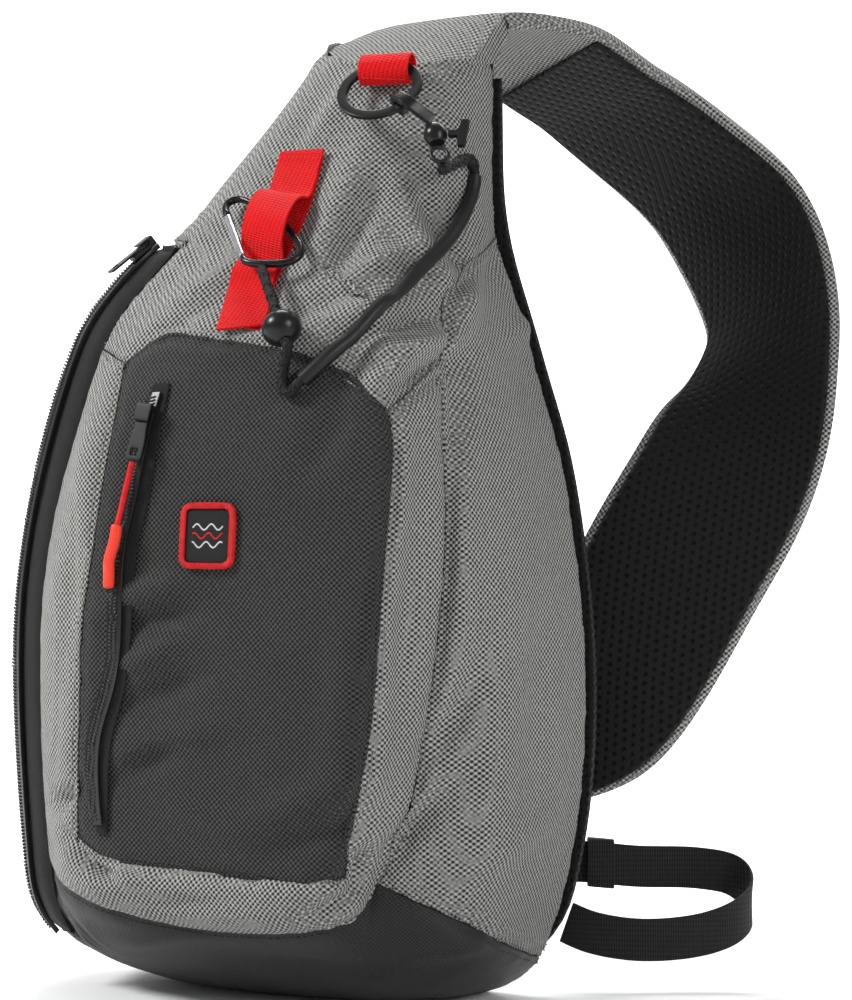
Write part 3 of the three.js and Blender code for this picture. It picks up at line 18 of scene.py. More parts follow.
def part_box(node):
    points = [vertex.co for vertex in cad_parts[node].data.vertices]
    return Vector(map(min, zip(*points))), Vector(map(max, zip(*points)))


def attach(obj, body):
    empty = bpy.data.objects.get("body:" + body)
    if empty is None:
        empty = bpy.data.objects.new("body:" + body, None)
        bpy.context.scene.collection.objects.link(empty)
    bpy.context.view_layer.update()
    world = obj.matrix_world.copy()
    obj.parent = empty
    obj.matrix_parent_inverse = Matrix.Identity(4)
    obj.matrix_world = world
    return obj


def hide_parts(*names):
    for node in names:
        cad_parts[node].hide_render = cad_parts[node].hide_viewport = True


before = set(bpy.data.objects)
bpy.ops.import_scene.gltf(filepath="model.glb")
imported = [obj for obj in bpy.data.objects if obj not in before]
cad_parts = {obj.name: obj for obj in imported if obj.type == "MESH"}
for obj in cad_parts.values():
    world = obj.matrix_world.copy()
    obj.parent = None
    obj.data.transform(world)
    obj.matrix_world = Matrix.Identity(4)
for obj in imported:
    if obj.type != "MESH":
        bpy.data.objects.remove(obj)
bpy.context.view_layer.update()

# %% [markdown]
# ## Camera
# The picture was taken level with the middle of the bag, turned 28 degrees to its right side. A
# long lens keeps the upright seams nearly straight. The shift puts the bag left of the middle,
# as in the picture, without turning the camera.

# %% Camera
AZIMUTH = math.radians(28)
EYE_HEIGHT = 0.240
DISTANCE = 1.5
TARGET_Y = 0.0295
LENS = 108
SENSOR = 36
SHIFT_X = 0.082
IMAGE_MIDDLE = 500
TARGET_PX = 344
PX_PER_METRE = 2000

view_way = Vector((-math.sin(AZIMUTH), math.cos(AZIMUTH), 0))
view_right = Vector((math.cos(AZIMUTH), math.sin(AZIMUTH), 0))
view_up = Vector((0, 0, 1))
target = Vector((0, TARGET_Y, EYE_HEIGHT))

camera_data = bpy.data.cameras.new("camera")
camera_data.lens = LENS
camera_data.sensor_width = SENSOR
camera_data.shift_x = SHIFT_X
camera = bpy.data.objects.new("camera", camera_data)
camera.location = target - view_way * DISTANCE
camera.rotation_mode = "QUATERNION"
camera.rotation_quaternion = view_way.to_track_quat("-Z", "Y")
bpy.context.scene.collection.objects.link(camera)
bpy.context.scene.camera = camera
print("camera at", tuple(round(v, 3) for v in camera.location))


# %% [markdown]
# A place in the picture becomes a place on the bag by following its line of sight until it meets
# a solid. `sight` gives that line for a pixel of the 852 by 1000 picture, and `seen` follows it.

# %% Lines of sight
def sight(px, py):
    across = (px - TARGET_PX) / PX_PER_METRE
    upward = (IMAGE_MIDDLE - py) / PX_PER_METRE
    at_target = target + view_right * across + view_up * upward
    return (at_target - camera.location).normalized()


def tree_of(*objects):
    points, faces = [], []
    for thing in objects:
        start = len(points)
        points += [v.co.copy() for v in thing.data.vertices]
        faces += [[start + i for i in face.vertices] for face in thing.data.polygons]
    return BVHTree.FromPolygons(points, faces)


def seen(px, py, tree):
    spot, normal, _, _ = tree.ray_cast(camera.location, sight(px, py))
    return spot, normal


print("the middle of the picture looks along", tuple(round(v, 3) for v in sight(426, IMAGE_MIDDLE)))

# %% [markdown]
# ## Room and light
# A studio floor that bends up into the wall behind has no horizon line. Three soft lamps and a
# bright room give the even light of a product picture, with a faint shadow under the bag. The key
# lamp stands far to the left, so that folds throw a little shade. A fourth lamp lights the wall.

# %% Floor and lamps
def new_mesh(name, points, faces, smooth=True):
    data = bpy.data.meshes.new(name)
    data.from_pydata([tuple(p) for p in points], [], faces)
    data.update()
    for polygon in data.polygons:
        polygon.use_smooth = smooth
    thing = bpy.data.objects.new(name, data)
    bpy.context.scene.collection.objects.link(thing)
    return thing


FLOOR_REACH = 4.0
FLOOR_BACK = 2.2
FLOOR_BEND = 1.2
WALL_TOP = 4.0
BEND_STEPS = 12
floor_profile = [(-FLOOR_REACH, 0.0), (0.0, 0.0), (FLOOR_BACK, 0.0)]
floor_profile += [
    (FLOOR_BACK + FLOOR_BEND * math.sin(t), FLOOR_BEND * (1 - math.cos(t)))
    for t in (math.pi / 2 * i / BEND_STEPS for i in range(1, BEND_STEPS + 1))
]
floor_profile.append((FLOOR_BACK + FLOOR_BEND, WALL_TOP))
floor_points = [
    view_way * along + view_right * side + view_up * high
    for along, high in floor_profile
    for side in (-FLOOR_REACH, FLOOR_REACH)
]
floor_faces = [
    (2 * i, 2 * i + 1, 2 * i + 3, 2 * i + 2) for i in range(len(floor_profile) - 1)
]
floor = new_mesh("studio_floor", floor_points, floor_faces)


def lamp(name, place, size, watts, aim=None):
    data = bpy.data.lights.new(name, "AREA")
    data.shape = "DISK"
    data.size = size
    data.energy = watts
    thing = bpy.data.objects.new(name, data)
    thing.location = place
    way = (aim or target) - Vector(place)
    thing.rotation_mode = "QUATERNION"
    thing.rotation_quaternion = way.to_track_quat("-Z", "Y")
    bpy.context.scene.collection.objects.link(thing)


LAMPS = (
    # name, place, size, watts
    ("key_lamp", (-1.3, -1.3, 1.6), 0.7, 52),
    ("side_lamp", (2.0, -0.7, 0.9), 0.9, 17),
    ("rim_lamp", (0.3, 1.8, 1.8), 1.0, 16),
)
for name, place, size, watts in LAMPS:
    lamp(name, place, size, watts)
WALL_MIDDLE = 0.5
backdrop = view_way * (FLOOR_BACK + FLOOR_BEND) + view_up * WALL_MIDDLE
lamp("backdrop_lamp", view_way * 1.1 + view_up * 2.4, 1.2, 130, backdrop)

ROOM_LIGHT = 0.36
world = bpy.data.worlds.new("studio")
world.use_nodes = True
background = world.node_tree.nodes["Background"]
background.inputs["Color"].default_value = (1.0, 1.0, 1.0, 1)
background.inputs["Strength"].default_value = ROOM_LIGHT
bpy.context.scene.world = world
bpy.context.scene.view_settings.view_transform = "Standard"
print("lamps:", len(bpy.data.lights))

# %% [markdown]
# ## Finishes
# Each cloth is drawn by its threads. A plain weave is a product of two sine waves, one for each
# thread direction. Because the panels face several ways, the weave is worked out in all three
# level planes, and the surface's own direction says how much of each to use.


# %% A small kit for shader nodes
class Shader:
    """One material, with short ways to add and join its nodes."""

    def __init__(self, name, roughness, **sockets):
        self.material = bpy.data.materials.new(name)
        self.material.use_nodes = True
        self.tree = self.material.node_tree
        self.surface = self.tree.nodes["Principled BSDF"]
        self.surface.inputs["Roughness"].default_value = roughness
        for socket, value in sockets.items():
            self.surface.inputs[socket.replace("_", " ")].default_value = value

    def add(self, kind, **settings):
        node = self.tree.nodes.new(kind)
        for key, value in settings.items():
            setattr(node, key, value)
        return node

    def put(self, value, socket):
        if isinstance(value, (int, float, tuple)):
            socket.default_value = value
        else:
            self.tree.links.new(value, socket)

    def math(self, operation, a, b=0.0, c=0.0):
        node = self.add("ShaderNodeMath", operation=operation)
        for value, socket in zip((a, b, c), node.inputs):
            self.put(value, socket)
        return node.outputs[0]

    def limited(self, share):
        return self.math("MAXIMUM", self.math("MINIMUM", share, 1.0), 0.0)

    def wave(self, value, pitch):
        return self.math("SINE", self.math("MULTIPLY", value, 2 * math.pi / pitch))

    def split(self, vector):
        node = self.add("ShaderNodeSeparateXYZ")
        self.tree.links.new(vector, node.inputs[0])
        return list(node.outputs)

    def place(self):
        return self.add("ShaderNodeTexCoord").outputs["Object"]

    def facing(self):
        axes = self.split(self.add("ShaderNodeTexCoord").outputs["Normal"])
        return [self.math("MULTIPLY", axis, axis) for axis in axes]

    def noise(self, pitch, detail=2.0):
        node = self.add("ShaderNodeTexNoise")
        node.inputs["Scale"].default_value = 1 / pitch
        node.inputs["Detail"].default_value = detail
        self.tree.links.new(self.place(), node.inputs["Vector"])
        return node.outputs["Fac"]

    def colour(self, share, low, high):
        node = self.add("ShaderNodeMix", data_type="RGBA")
        self.put(share, node.inputs["Factor"])
        # A Mix node keeps its colour sockets after those for numbers and vectors.
        node.inputs[6].default_value = (*low, 1)
        node.inputs[7].default_value = (*high, 1)
        self.tree.links.new(node.outputs[2], self.surface.inputs["Base Color"])

    def relief(self, height, depth):
        node = self.add("ShaderNodeBump")
        node.inputs["Strength"].default_value = 1.0
        node.inputs["Distance"].default_value = depth
        self.tree.links.new(height, node.inputs["Height"])
        self.tree.links.new(node.outputs["Normal"], self.surface.inputs["Normal"])

    def by_plane(self, on_side, on_front, on_top):
        facing = self.facing()
        total = self.math("MULTIPLY", on_side, facing[0])
        total = self.math("MULTIPLY_ADD", on_front, facing[1], total)
        return self.math("MULTIPLY_ADD", on_top, facing[2], total)


print("shader kit:", [name for name in vars(Shader) if not name.startswith("_")])

# %% [markdown]
# The grey cloth crosses light and dark threads, which the eye reads as rows of dots. A fine noise
# makes the threads uneven, and a slow noise makes some places a little dusty.

# %% Woven cloth
SPECKLE_PITCH = 0.0011
DUST_PITCH, DUST = 0.05, 0.12
THREAD_CONTRAST, THREAD_MIDDLE = 0.85, 0.46


def woven(name, low, high, pitch, speckle, depth, roughness=0.8):
    shader = Shader(name, roughness, Sheen_Weight=0.05, Specular_IOR_Level=0.22)
    x, y, z = (shader.wave(axis, pitch) for axis in shader.split(shader.place()))
    weave = shader.by_plane(
        shader.math("MULTIPLY", y, z),
        shader.math("MULTIPLY", x, z),
        shader.math("MULTIPLY", x, y),
    )
    speckles = shader.math("SUBTRACT", shader.noise(SPECKLE_PITCH, 1.0), 0.5)
    dust = shader.math("SUBTRACT", shader.noise(DUST_PITCH, 3.0), 0.5)
    share = shader.math("MULTIPLY_ADD", weave, THREAD_CONTRAST, THREAD_MIDDLE)
    share = shader.math("MULTIPLY_ADD", speckles, speckle, share)
    share = shader.math("MULTIPLY_ADD", dust, DUST, share)
    shader.colour(shader.limited(share), low, high)
    shader.relief(weave, depth)
    return shader.material


WOVEN = {
    # slot: name, dark thread, light thread, pitch, speckle, depth, roughness where it isn't 0.8
    "grey_fabric": (
        "grey_weave", (0.012, 0.0125, 0.0115), (0.43, 0.435, 0.415), 0.0027, 0.7, 0.00045),
    "pocket_fabric": (
        "charcoal_weave", (0.001, 0.0012, 0.0011), (0.062, 0.065, 0.062), 0.0025, 0.6, 0.0004),
    "base_fabric": (
        "base_weave", (0.004, 0.0042, 0.0043), (0.028, 0.029, 0.030), 0.0018, 0.6, 0.00012, 0.5),
    "black_fabric": (
        "label_ground", (0.006, 0.006, 0.006), (0.02, 0.02, 0.02), 0.0006, 0.4, 0.00008),
    "zip_tape": (
        "zip_tape_weave", (0.003, 0.003, 0.003), (0.015, 0.015, 0.0155), 0.0010, 0.5, 0.00012),
}
finishes = {slot: woven(*recipe) for slot, recipe in WOVEN.items()}
print("woven finishes:", len(finishes))

# %% [markdown]
# The back and the strap's inner face are air mesh: a knit with rows of six-sided holes over dark
# foam. Three waves at 60 degrees to each other add up to a pattern of round wells packed like
# honeycomb.

# %% Air mesh
HOLE_PITCH = 0.0046
HOLE_DEPTH = 0.0011
KNIT_PITCH = 0.0009


def honeycomb(shader, a, b):
    turn = 4 * math.pi / (math.sqrt(3) * HOLE_PITCH)
    total = shader.math("COSINE", shader.math("MULTIPLY", a, turn))
    for side in (-1, 1):
        way = shader.math("MULTIPLY", a, -0.5 * turn)
        way = shader.math("MULTIPLY_ADD", b, side * turn * math.sqrt(3) / 2, way)
        total = shader.math("ADD", total, shader.math("COSINE", way))
    return total


def air_mesh(name, hole, knit):
    shader = Shader(name, 0.75, Sheen_Weight=0.08, Specular_IOR_Level=0.15)
    x, y, z = shader.split(shader.place())
    planes = ((y, z), (x, z), (x, y))
    wells = shader.by_plane(*(honeycomb(shader, a, b) for a, b in planes))
    threads = shader.math("SUBTRACT", shader.noise(KNIT_PITCH, 1.0), 0.5)
    height = shader.math("MULTIPLY_ADD", shader.math("MAXIMUM", wells, 0.0), -0.4, 0.8)
    share = shader.math("MULTIPLY_ADD", threads, 0.6, height)
    shader.colour(shader.limited(share), hole, knit)
    shader.relief(height, HOLE_DEPTH)
    return shader.material


finishes["black_mesh"] = air_mesh("air_mesh", (0.001, 0.001, 0.001), (0.0095, 0.0095, 0.0095))
print("air mesh holes every", HOLE_PITCH * 1000, "mm")

# %% [markdown]
# Webbing is woven in ribs along its length with fine picks across it. Each strap runs its own
# way, so the material is told the direction of its ribs.


# %% Webbing
WEAR_PITCH = 0.012


def ribbed(name, low, high, along, across, pitch, picks, depth):
    shader = Shader(name, 0.6, Sheen_Weight=0.02, Specular_IOR_Level=0.12)
    values = []
    for way, size in ((across, pitch), (along, picks)):
        node = shader.add("ShaderNodeVectorMath", operation="DOT_PRODUCT")
        shader.tree.links.new(shader.place(), node.inputs[0])
        node.inputs[1].default_value = way
        values.append(shader.wave(node.outputs["Value"], size))
    ribs = shader.math("MULTIPLY", values[0], 0.4)
    height = shader.math("MULTIPLY_ADD", values[1], 0.6, ribs)
    worn = shader.math("SUBTRACT", shader.noise(WEAR_PITCH, 3.0), 0.5)
    share = shader.math("MULTIPLY_ADD", height, 0.35, 0.6)
    share = shader.math("MULTIPLY_ADD", worn, 0.3, share)
    shader.colour(shader.limited(share), low, high)
    shader.relief(height, depth)
    return shader.material


RED_LOW, RED_HIGH = (0.26, 0.001, 0.002), (0.80, 0.005, 0.007)
TILT = math.radians(15)
daisy_along = (math.sin(TILT), 0.0, math.cos(TILT))
daisy_across = (math.cos(TILT), 0.0, -math.sin(TILT))
finishes["red_webbing"] = ribbed(
    "red_ribbed_webbing", RED_LOW, RED_HIGH, daisy_along, daisy_across, 0.0022, 0.0011, 0.00022
)
finishes["black_webbing"] = ribbed(
    "black_ribbed_webbing", (0.005, 0.005, 0.005), (0.026, 0.026, 0.026),
    (0.85, 0.5, 0), (0.0, 0.0, 1.0), 0.0024, 0.0012, 0.0002,
)
print("ribbed finishes tilt by", round(math.degrees(TILT)), "degrees")

# %% [markdown]
# Thread, cord, rubber, paint and metal are plain colours with a fine grain. They differ mostly in
# how rough and how glossy they are: the grip is smooth rubber, the sliders are dull paint.


# %% Plain finishes
def grained(name, low, high, pitch, depth, roughness, metallic=0.0, gloss=0.3):
    shader = Shader(name, roughness, Metallic=metallic, Specular_IOR_Level=gloss)
    shader.colour(shader.noise(pitch * 6, 3.0), low, high)
    shader.relief(shader.noise(pitch, 2.0), depth)
    return shader.material


GRAINED = {
    # slot: name, dark, light, grain, depth, roughness, metallic, gloss
    "red_thread": ("red_thread", RED_LOW, (0.78, 0.02, 0.02), 0.0006, 0.0001, 0.6),
    "red_cord": ("red_cord", RED_LOW, RED_HIGH, 0.0007, 0.0002, 0.55),
    "red_rubber": (
        "red_grip", (0.74, 0.035, 0.016), (0.86, 0.06, 0.03), 0.0009, 0.00006, 0.42),
    "black_cord": (
        "black_braid", (0.0015, 0.0015, 0.0015), (0.016, 0.016, 0.016),
        0.0010, 0.0007, 0.55, 0.0, 0.2),
    "black_rubber": (
        "black_sleeve", (0.006, 0.006, 0.006), (0.013, 0.013, 0.0135), 0.0012, 0.00008, 0.42),
    "black_plastic": (
        "black_moulding", (0.004, 0.004, 0.0045), (0.009, 0.009, 0.0095), 0.0008, 0.00004, 0.28),
    "zip_coil": (
        "zip_coil_nylon", (0.004, 0.004, 0.004), (0.013, 0.013, 0.013),
        0.0006, 0.00003, 0.33, 0.0, 0.4),
    "dark_metal": (
        "black_paint", (0.005, 0.005, 0.0055), (0.011, 0.011, 0.0115),
        0.0007, 0.00003, 0.42, 0.0, 0.15),
    "black_anodised": (
        "anodised_wire", (0.012, 0.012, 0.013), (0.028, 0.028, 0.03), 0.0007, 0.00002, 0.24, 0.6),
    "silver_metal": (
        "brushed_gate", (0.42, 0.43, 0.45), (0.62, 0.63, 0.65), 0.0005, 0.00003, 0.28, 1.0),
    "grey_thread": (
        "grey_thread", (0.16, 0.162, 0.155), (0.32, 0.325, 0.31), 0.0005, 0.00006, 0.6),
    "dark_thread": (
        "dark_thread", (0.012, 0.012, 0.012), (0.04, 0.04, 0.04), 0.0005, 0.00006, 0.6),
    "pale_thread": ("pale_thread", (0.45, 0.45, 0.45), (0.7, 0.7, 0.7), 0.0005, 0.00006, 0.6),
}
for slot, recipe in GRAINED.items():
    finishes[slot] = grained(*recipe)
paper = grained("studio_paper", (0.90, 0.90, 0.90), (0.93, 0.93, 0.93), 0.02, 0.0, 0.9)
floor.data.materials.append(paper)
print("finishes:", len(finishes))


# %% [markdown]
# ## From a solid to sewn cloth
# A panel's solid is a coarse grid with a square rim. To make cloth of it, we weld its points, turn
# its triangles back into four-sided faces, push the rim out so that neighbours meet in a seam,
# round the rim with a bevel, and smooth the rest by subdivision. Only then are the folds pressed
# in, because they are finer than the grid.

# %% Panel tools
SHARP = 0.9
RIM_HIGH = 0.0035
TUCKED_ABOVE = 0.435
FACES_UP = 0.7
body_axis = Vector((0.0, -0.035, 0.0))


def node_mesh(node):
    mesh = bmesh.new()
    mesh.from_mesh(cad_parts[node].data)
    bmesh.ops.remove_doubles(mesh, verts=mesh.verts, dist=2e-5)
    bmesh.ops.join_triangles(
        mesh, faces=mesh.faces, angle_face_threshold=0.75, angle_shape_threshold=1.3
    )
    mesh.normal_update()
    return mesh


def side_faces(mesh):
    found = []
    for face in mesh.faces:
        paired = [edge for edge in face.edges if len(edge.link_faces) == 2]
        sharp = [edge for edge in paired if edge.calc_face_angle(0) > SHARP]
        narrow = min(edge.calc_length() for edge in face.edges) < RIM_HIGH
        if len(sharp) >= 2 and narrow and len(face.verts) == 4:
            found.append((face, sharp))
    return found


def mark_rim(mesh):
    weights = mesh.edges.layers.float.new("bevel_weight_edge")
    for _, sharp in side_faces(mesh):
        for edge in sharp:
            edge[weights] = 1.0


def widen(mesh, reach, top_reach, tucked_above):
    """Pushes the rim out by `reach`, or by `top_reach` where it faces up under another piece."""
    moves = {}
    for face, _ in side_faces(mesh):
        for vert in face.verts:
            moves[vert] = moves.get(vert, Vector()) + face.normal
    for vert, way in moves.items():
        unit = way.normalized()
        hidden = unit.z > FACES_UP and vert.co.z > tucked_above
        vert.co += unit * (top_reach if hidden else reach)


def baked(name, mesh, bevel, levels, limit="ANGLE"):
    data = bpy.data.meshes.new(name)
    mesh.to_mesh(data)
    mesh.free()
    thing = bpy.data.objects.new(name, data)
    bpy.context.scene.collection.objects.link(thing)
    if bevel:
        rounder = thing.modifiers.new("round", "BEVEL")
        rounder.width = bevel
        rounder.segments = 2
        rounder.limit_method = limit
        rounder.angle_limit = SHARP * 0.75
    if levels:
        smoother = thing.modifiers.new("smooth", "SUBSURF")
        smoother.levels = levels
        smoother.render_levels = levels
    graph = bpy.context.evaluated_depsgraph_get()
    result = bpy.data.meshes.new_from_object(thing.evaluated_get(graph))
    thing.modifiers.clear()
    thing.data = result
    for polygon in result.polygons:
        polygon.use_smooth = True
    return thing


def dress(thing, slot, body="bag", stands_for=()):
    thing.data.materials.clear()
    thing.data.materials.append(finishes[slot])
    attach(thing, body)
    if stands_for:
        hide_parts(*stands_for)
    return thing


# %% [markdown]
# ## Folds
# Each fold is a long soft ridge or valley. The table gives its middle as a pixel of the picture,
# the way it runs in degrees from level, its length and width in millimetres, and how high it
# stands (below zero it is a valley). `FOLD_GAIN` makes all of them deeper at once. The folds are
# read on the bag along the line of sight.

# %% Fold table
FOLDS = (
    # px, py, turn, long, wide, high
    (335, 215, 70, 34, 9, 1.6), (352, 235, 66, 30, 6, -1.6), (300, 130, 60, 30, 10, -1.2),
    (330, 110, 50, 22, 6, 1.0), (395, 215, -62, 30, 8, -1.2), (425, 255, -58, 30, 7, 1.5),
    (445, 235, -60, 26, 5, -1.5), (470, 190, -75, 30, 8, 1.0), (380, 262, 28, 24, 6, 1.3),
    (330, 300, 30, 26, 7, -1.5), (300, 322, 22, 24, 6, 1.2), (405, 320, 18, 26, 5, -1.6),
    (425, 345, 12, 26, 5, 1.6), (432, 372, 25, 24, 6, -1.4), (392, 372, 40, 20, 5, 1.3),
    (356, 358, 60, 14, 5, -1.2), (200, 290, 40, 24, 8, 1.0), (180, 320, 30, 18, 6, -1.0),
    (472, 300, 62, 26, 6, 1.4), (490, 270, 66, 22, 5, -1.3), (455, 420, 84, 34, 6, -1.2),
    (520, 330, 40, 18, 6, 1.0), (460, 560, 86, 60, 12, 1.0), (430, 700, 70, 40, 9, 1.4),
    (448, 735, 66, 34, 7, -1.5), (425, 780, 52, 28, 7, 1.4), (410, 830, 48, 22, 6, -1.4),
    (520, 840, 20, 30, 9, 1.0), (540, 700, 84, 50, 10, -0.9), (150, 590, 14, 22, 6, 1.3),
    (158, 618, 10, 20, 5, -1.3), (150, 655, 18, 18, 5, 1.2), (165, 690, 22, 22, 6, -1.3),
    (185, 735, 16, 26, 7, 1.3), (150, 760, 30, 20, 6, -1.2), (300, 800, 24, 34, 8, 1.2),
    (325, 835, 22, 26, 6, -1.2), (210, 820, -14, 26, 8, 0.9), (235, 610, -32, 30, 9, -0.9),
    (280, 480, -22, 36, 9, 0.8), (330, 430, 58, 26, 8, -0.9), (340, 700, 84, 40, 8, 0.8),
    (62, 800, 40, 12, 4, -2.0), (72, 845, -34, 12, 4, -2.0), (98, 872, -24, 12, 4, -2.2),
    (120, 880, 12, 14, 5, 1.2), (180, 905, 4, 22, 5, -0.9), (362, 868, 74, 10, 4, -2.0),
    (335, 905, 28, 14, 4, -1.4), (300, 890, 10, 18, 6, 1.0), (84, 470, 84, 34, 6, 0.9),
    (70, 600, 86, 40, 6, -0.9), (395, 500, 84, 40, 6, 0.8), (405, 640, 86, 40, 6, -0.9),
    (460, 945, 4, 30, 6, 0.9), (300, 965, 2, 40, 5, -0.7), (150, 940, 14, 24, 5, 0.8),
)
SIGHT_REACH = 0.026
FOLD_GAIN = 3.8
shell_nodes = (
    "upper_front_panel", "right_gusset", "pocket_gusset", "pocket_panel", "base_panel",
    "left_gusset",
)
shell_tree = tree_of(*(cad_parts[node] for node in shell_nodes))
fold_rows = []
for px, py, turn, long, wide, high in FOLDS:
    spot, _ = seen(px, py, shell_tree)
    if spot is not None:
        fold_rows.append((spot, math.radians(turn), long / 1000, wide / 1000, high / 1000))
print("folds on the bag:", len(fold_rows), "of", len(FOLDS))


# %% [markdown]
# Besides the folds, all sewn cloth does two things. It dips into its seams and swells beside them,
# and thread tension puckers it in small ripples that fade away from the seam. `pressed` adds
# these heights to both faces of a panel alike, so that the cloth keeps its thickness.

# %% Press folds and puckers
DIP, DIP_WIDE = 0.0009, 0.0024
SWELL, SWELL_AT, SWELL_WIDE = 0.0007, 0.0075, 0.0050
PUCKER, PUCKER_REACH = 0.00045, 0.009
RIPPLES = ((0.0105, (0.9, 0.2, 0.4)), (0.0152, (0.2, 0.5, -0.85)), (0.0078, (0.5, -0.3, 0.8)))
SWAYS = ((0.061, (0.7, 0.4, 0.6)), (0.043, (-0.5, 0.3, 0.8)), (0.034, (0.9, -0.2, -0.3)))
SWAY = 0.00035
AXIS_LOW, AXIS_HIGH = 0.08, 0.40
SEAM_CALM, FOLD_CALM = 0.02, 0.004


def waves(places, table):
    total = np.zeros(len(places))
    for number, (length, way) in enumerate(table):
        unit = np.array(way) / np.linalg.norm(way)
        total += np.sin(places @ unit * (2 * math.pi / length) + 1.7 * number)
    return total / len(table)


def rim_tree(mesh):
    spots = []
    for _, sharp in side_faces(mesh):
        for edge in sharp:
            a, b = (vert.co for vert in edge.verts)
            steps = max(1, int((b - a).length / 0.002))
            spots += [a.lerp(b, i / steps) for i in range(steps + 1)]
    tree = KDTree(len(spots))
    for i, spot in enumerate(spots):
        tree.insert(spot, i)
    tree.balance()
    return tree


def pressed(thing, rim, folds=True):
    data = thing.data
    count = len(data.vertices)
    places = np.empty(count * 3)
    normals = np.empty(count * 3)
    data.vertices.foreach_get("co", places)
    data.vertices.foreach_get("normal", normals)
    places, normals = places.reshape(-1, 3), normals.reshape(-1, 3)
    middle = np.array(body_axis) + np.outer(np.clip(places[:, 2], AXIS_LOW, AXIS_HIGH), (0, 0, 1))
    inside = np.einsum("ij,ij->i", places - middle, normals) < 0
    outward = np.where(inside[:, None], -normals, normals)
    away = np.array([rim.find(Vector(p))[2] for p in places])
    height = -DIP * np.exp(-((away / DIP_WIDE) ** 2))
    height += SWELL * np.exp(-(((away - SWELL_AT) / SWELL_WIDE) ** 2))
    height += PUCKER * np.exp(-away / PUCKER_REACH) * waves(places, RIPPLES)
    height += SWAY * waves(places, SWAYS) * np.clip(away / SEAM_CALM, 0, 1)
    if folds:
        for spot, turn, long, wide, high in fold_rows:
            off = places - np.array(spot)
            level, rise, deep = (off @ np.array(axis) for axis in (view_right, view_up, view_way))
            run = level * math.cos(turn) + rise * math.sin(turn)
            side = rise * math.cos(turn) - level * math.sin(turn)
            near = (run / long) ** 2 + (side / wide) ** 2 + (deep / SIGHT_REACH) ** 2
            height += FOLD_GAIN * high * np.exp(-near) * np.clip(away / FOLD_CALM, 0.25, 1)
    places += outward * height[:, None]
    data.vertices.foreach_set("co", places.ravel())
    data.update()


print("ripples and sways:", len(RIPPLES), len(SWAYS))

# %% [markdown]
# ## The sewn panels
# The grey front, the two gussets, the dark pocket face with the padded strip round it, the dark
# tub and the zip's tape. Each is one closed piece of cloth that replaces its solid.

# %% Sew the panels
CLOTH_RIM = 0.00075
SEAM_REACH = 0.0006
TUCK_REACH = 0.004
SHOULDER = 0.334
PANELS = (
    # node, slot, levels
    ("upper_front_panel", "grey_fabric", 3),
    ("right_gusset", "grey_fabric", 3),
    ("left_gusset", "grey_fabric", 2),
    ("pocket_gusset", "grey_fabric", 3),
    ("pocket_panel", "pocket_fabric", 3),
    ("pocket_wall", "pocket_fabric", 2),
    ("base_panel", "base_fabric", 2),
    ("main_zip_tape", "zip_tape", 2),
)
panels = {}
for node, slot, levels in PANELS:
    mesh = node_mesh(node)
    rim = rim_tree(mesh)
    mark_rim(mesh)
    tucked_above = SHOULDER if node == "left_gusset" else TUCKED_ABOVE
    widen(mesh, SEAM_REACH, TUCK_REACH, tucked_above)
    piece = baked("cloth_" + node, mesh, CLOTH_RIM, levels, "WEIGHT")
    if node != "pocket_wall":
        pressed(piece, rim, folds=node != "main_zip_tape")
    panels[node] = dress(piece, slot, stands_for=(node,))
    print(node, "faces:", len(piece.data.polygons))

# %% [markdown]
# The floor of the tub has to stay flat on the ground: points that folds or smoothing moved below
# it are brought back up.

# %% Flatten the foot
for vert in panels["base_panel"].data.vertices:
    vert.co.z = max(vert.co.z, 0.0)
cloth_tree = tree_of(*(panels[node] for node in shell_nodes))
print("lowest point:", min(vert.co.z for vert in panels["base_panel"].data.vertices))

# %% [markdown]
# ## Back pad, strap and lining
# The strap is a long foam pad: grey cloth outside, air mesh inside. The back is a flat pad of the
# same mesh. Both are stuffed. Foam holds cloth taut, so they get no folds, only round edges.

# %% Padded pieces
PADS = (
    # node, slot, bevel, levels
    ("back_panel", "black_mesh", 0.002, 2), ("strap_pad", "grey_fabric", 0.0015, 2),
    ("strap_lining", "black_mesh", 0.0008, 2),
)
for node, slot, bevel, levels in PADS:
    piece = baked("pad_" + node, node_mesh(node), bevel, levels)
    panels[node] = dress(piece, slot, stands_for=(node,))
    print(node, "faces:", len(piece.data.polygons))

# %% [markdown]
# Between the back pad's top edge and the strap's root, the real bag is closed by a small facing of
# the same mesh. It is a thin flat plate, cut to the slanting root of the strap.

# %% Facing over the back pad
FACING_FACES = (0.0262, 0.0282)
FACING_LOW = 0.441
facing_top = (
    (-0.0075, 0.4425), (0.0010, 0.4640), (0.0050, 0.4625), (0.0120, 0.4590), (0.0350, 0.4520),
    (0.0600, 0.4520), (0.0830, 0.4520),
)
facing_points = [
    (x, y, high) for y in FACING_FACES for x, z in facing_top for high in (FACING_LOW, z)
]
ROW = 2 * len(facing_top)
facing_faces = []
for i in range(0, ROW - 2, 2):
    facing_faces.append((i, i + 1, i + 3, i + 2))
    facing_faces.append((ROW + i, ROW + i + 2, ROW + i + 3, ROW + i + 1))
    facing_faces.append((i + 1, ROW + i + 1, ROW + i + 3, i + 3))
    facing_faces.append((i, i + 2, ROW + i + 2, ROW + i))
facing_faces += [(0, ROW, ROW + 1, 1), (ROW - 2, ROW - 1, 2 * ROW - 1, 2 * ROW - 2)]
dress(new_mesh("back_top_facing", facing_points, facing_faces, False), "black_mesh")
print("facing corners:", len(facing_points))

# %% [markdown]
# ## Webbing and label
# Flat webbing keeps its edges crisp: a small bevel and one or two subdivisions are enough.

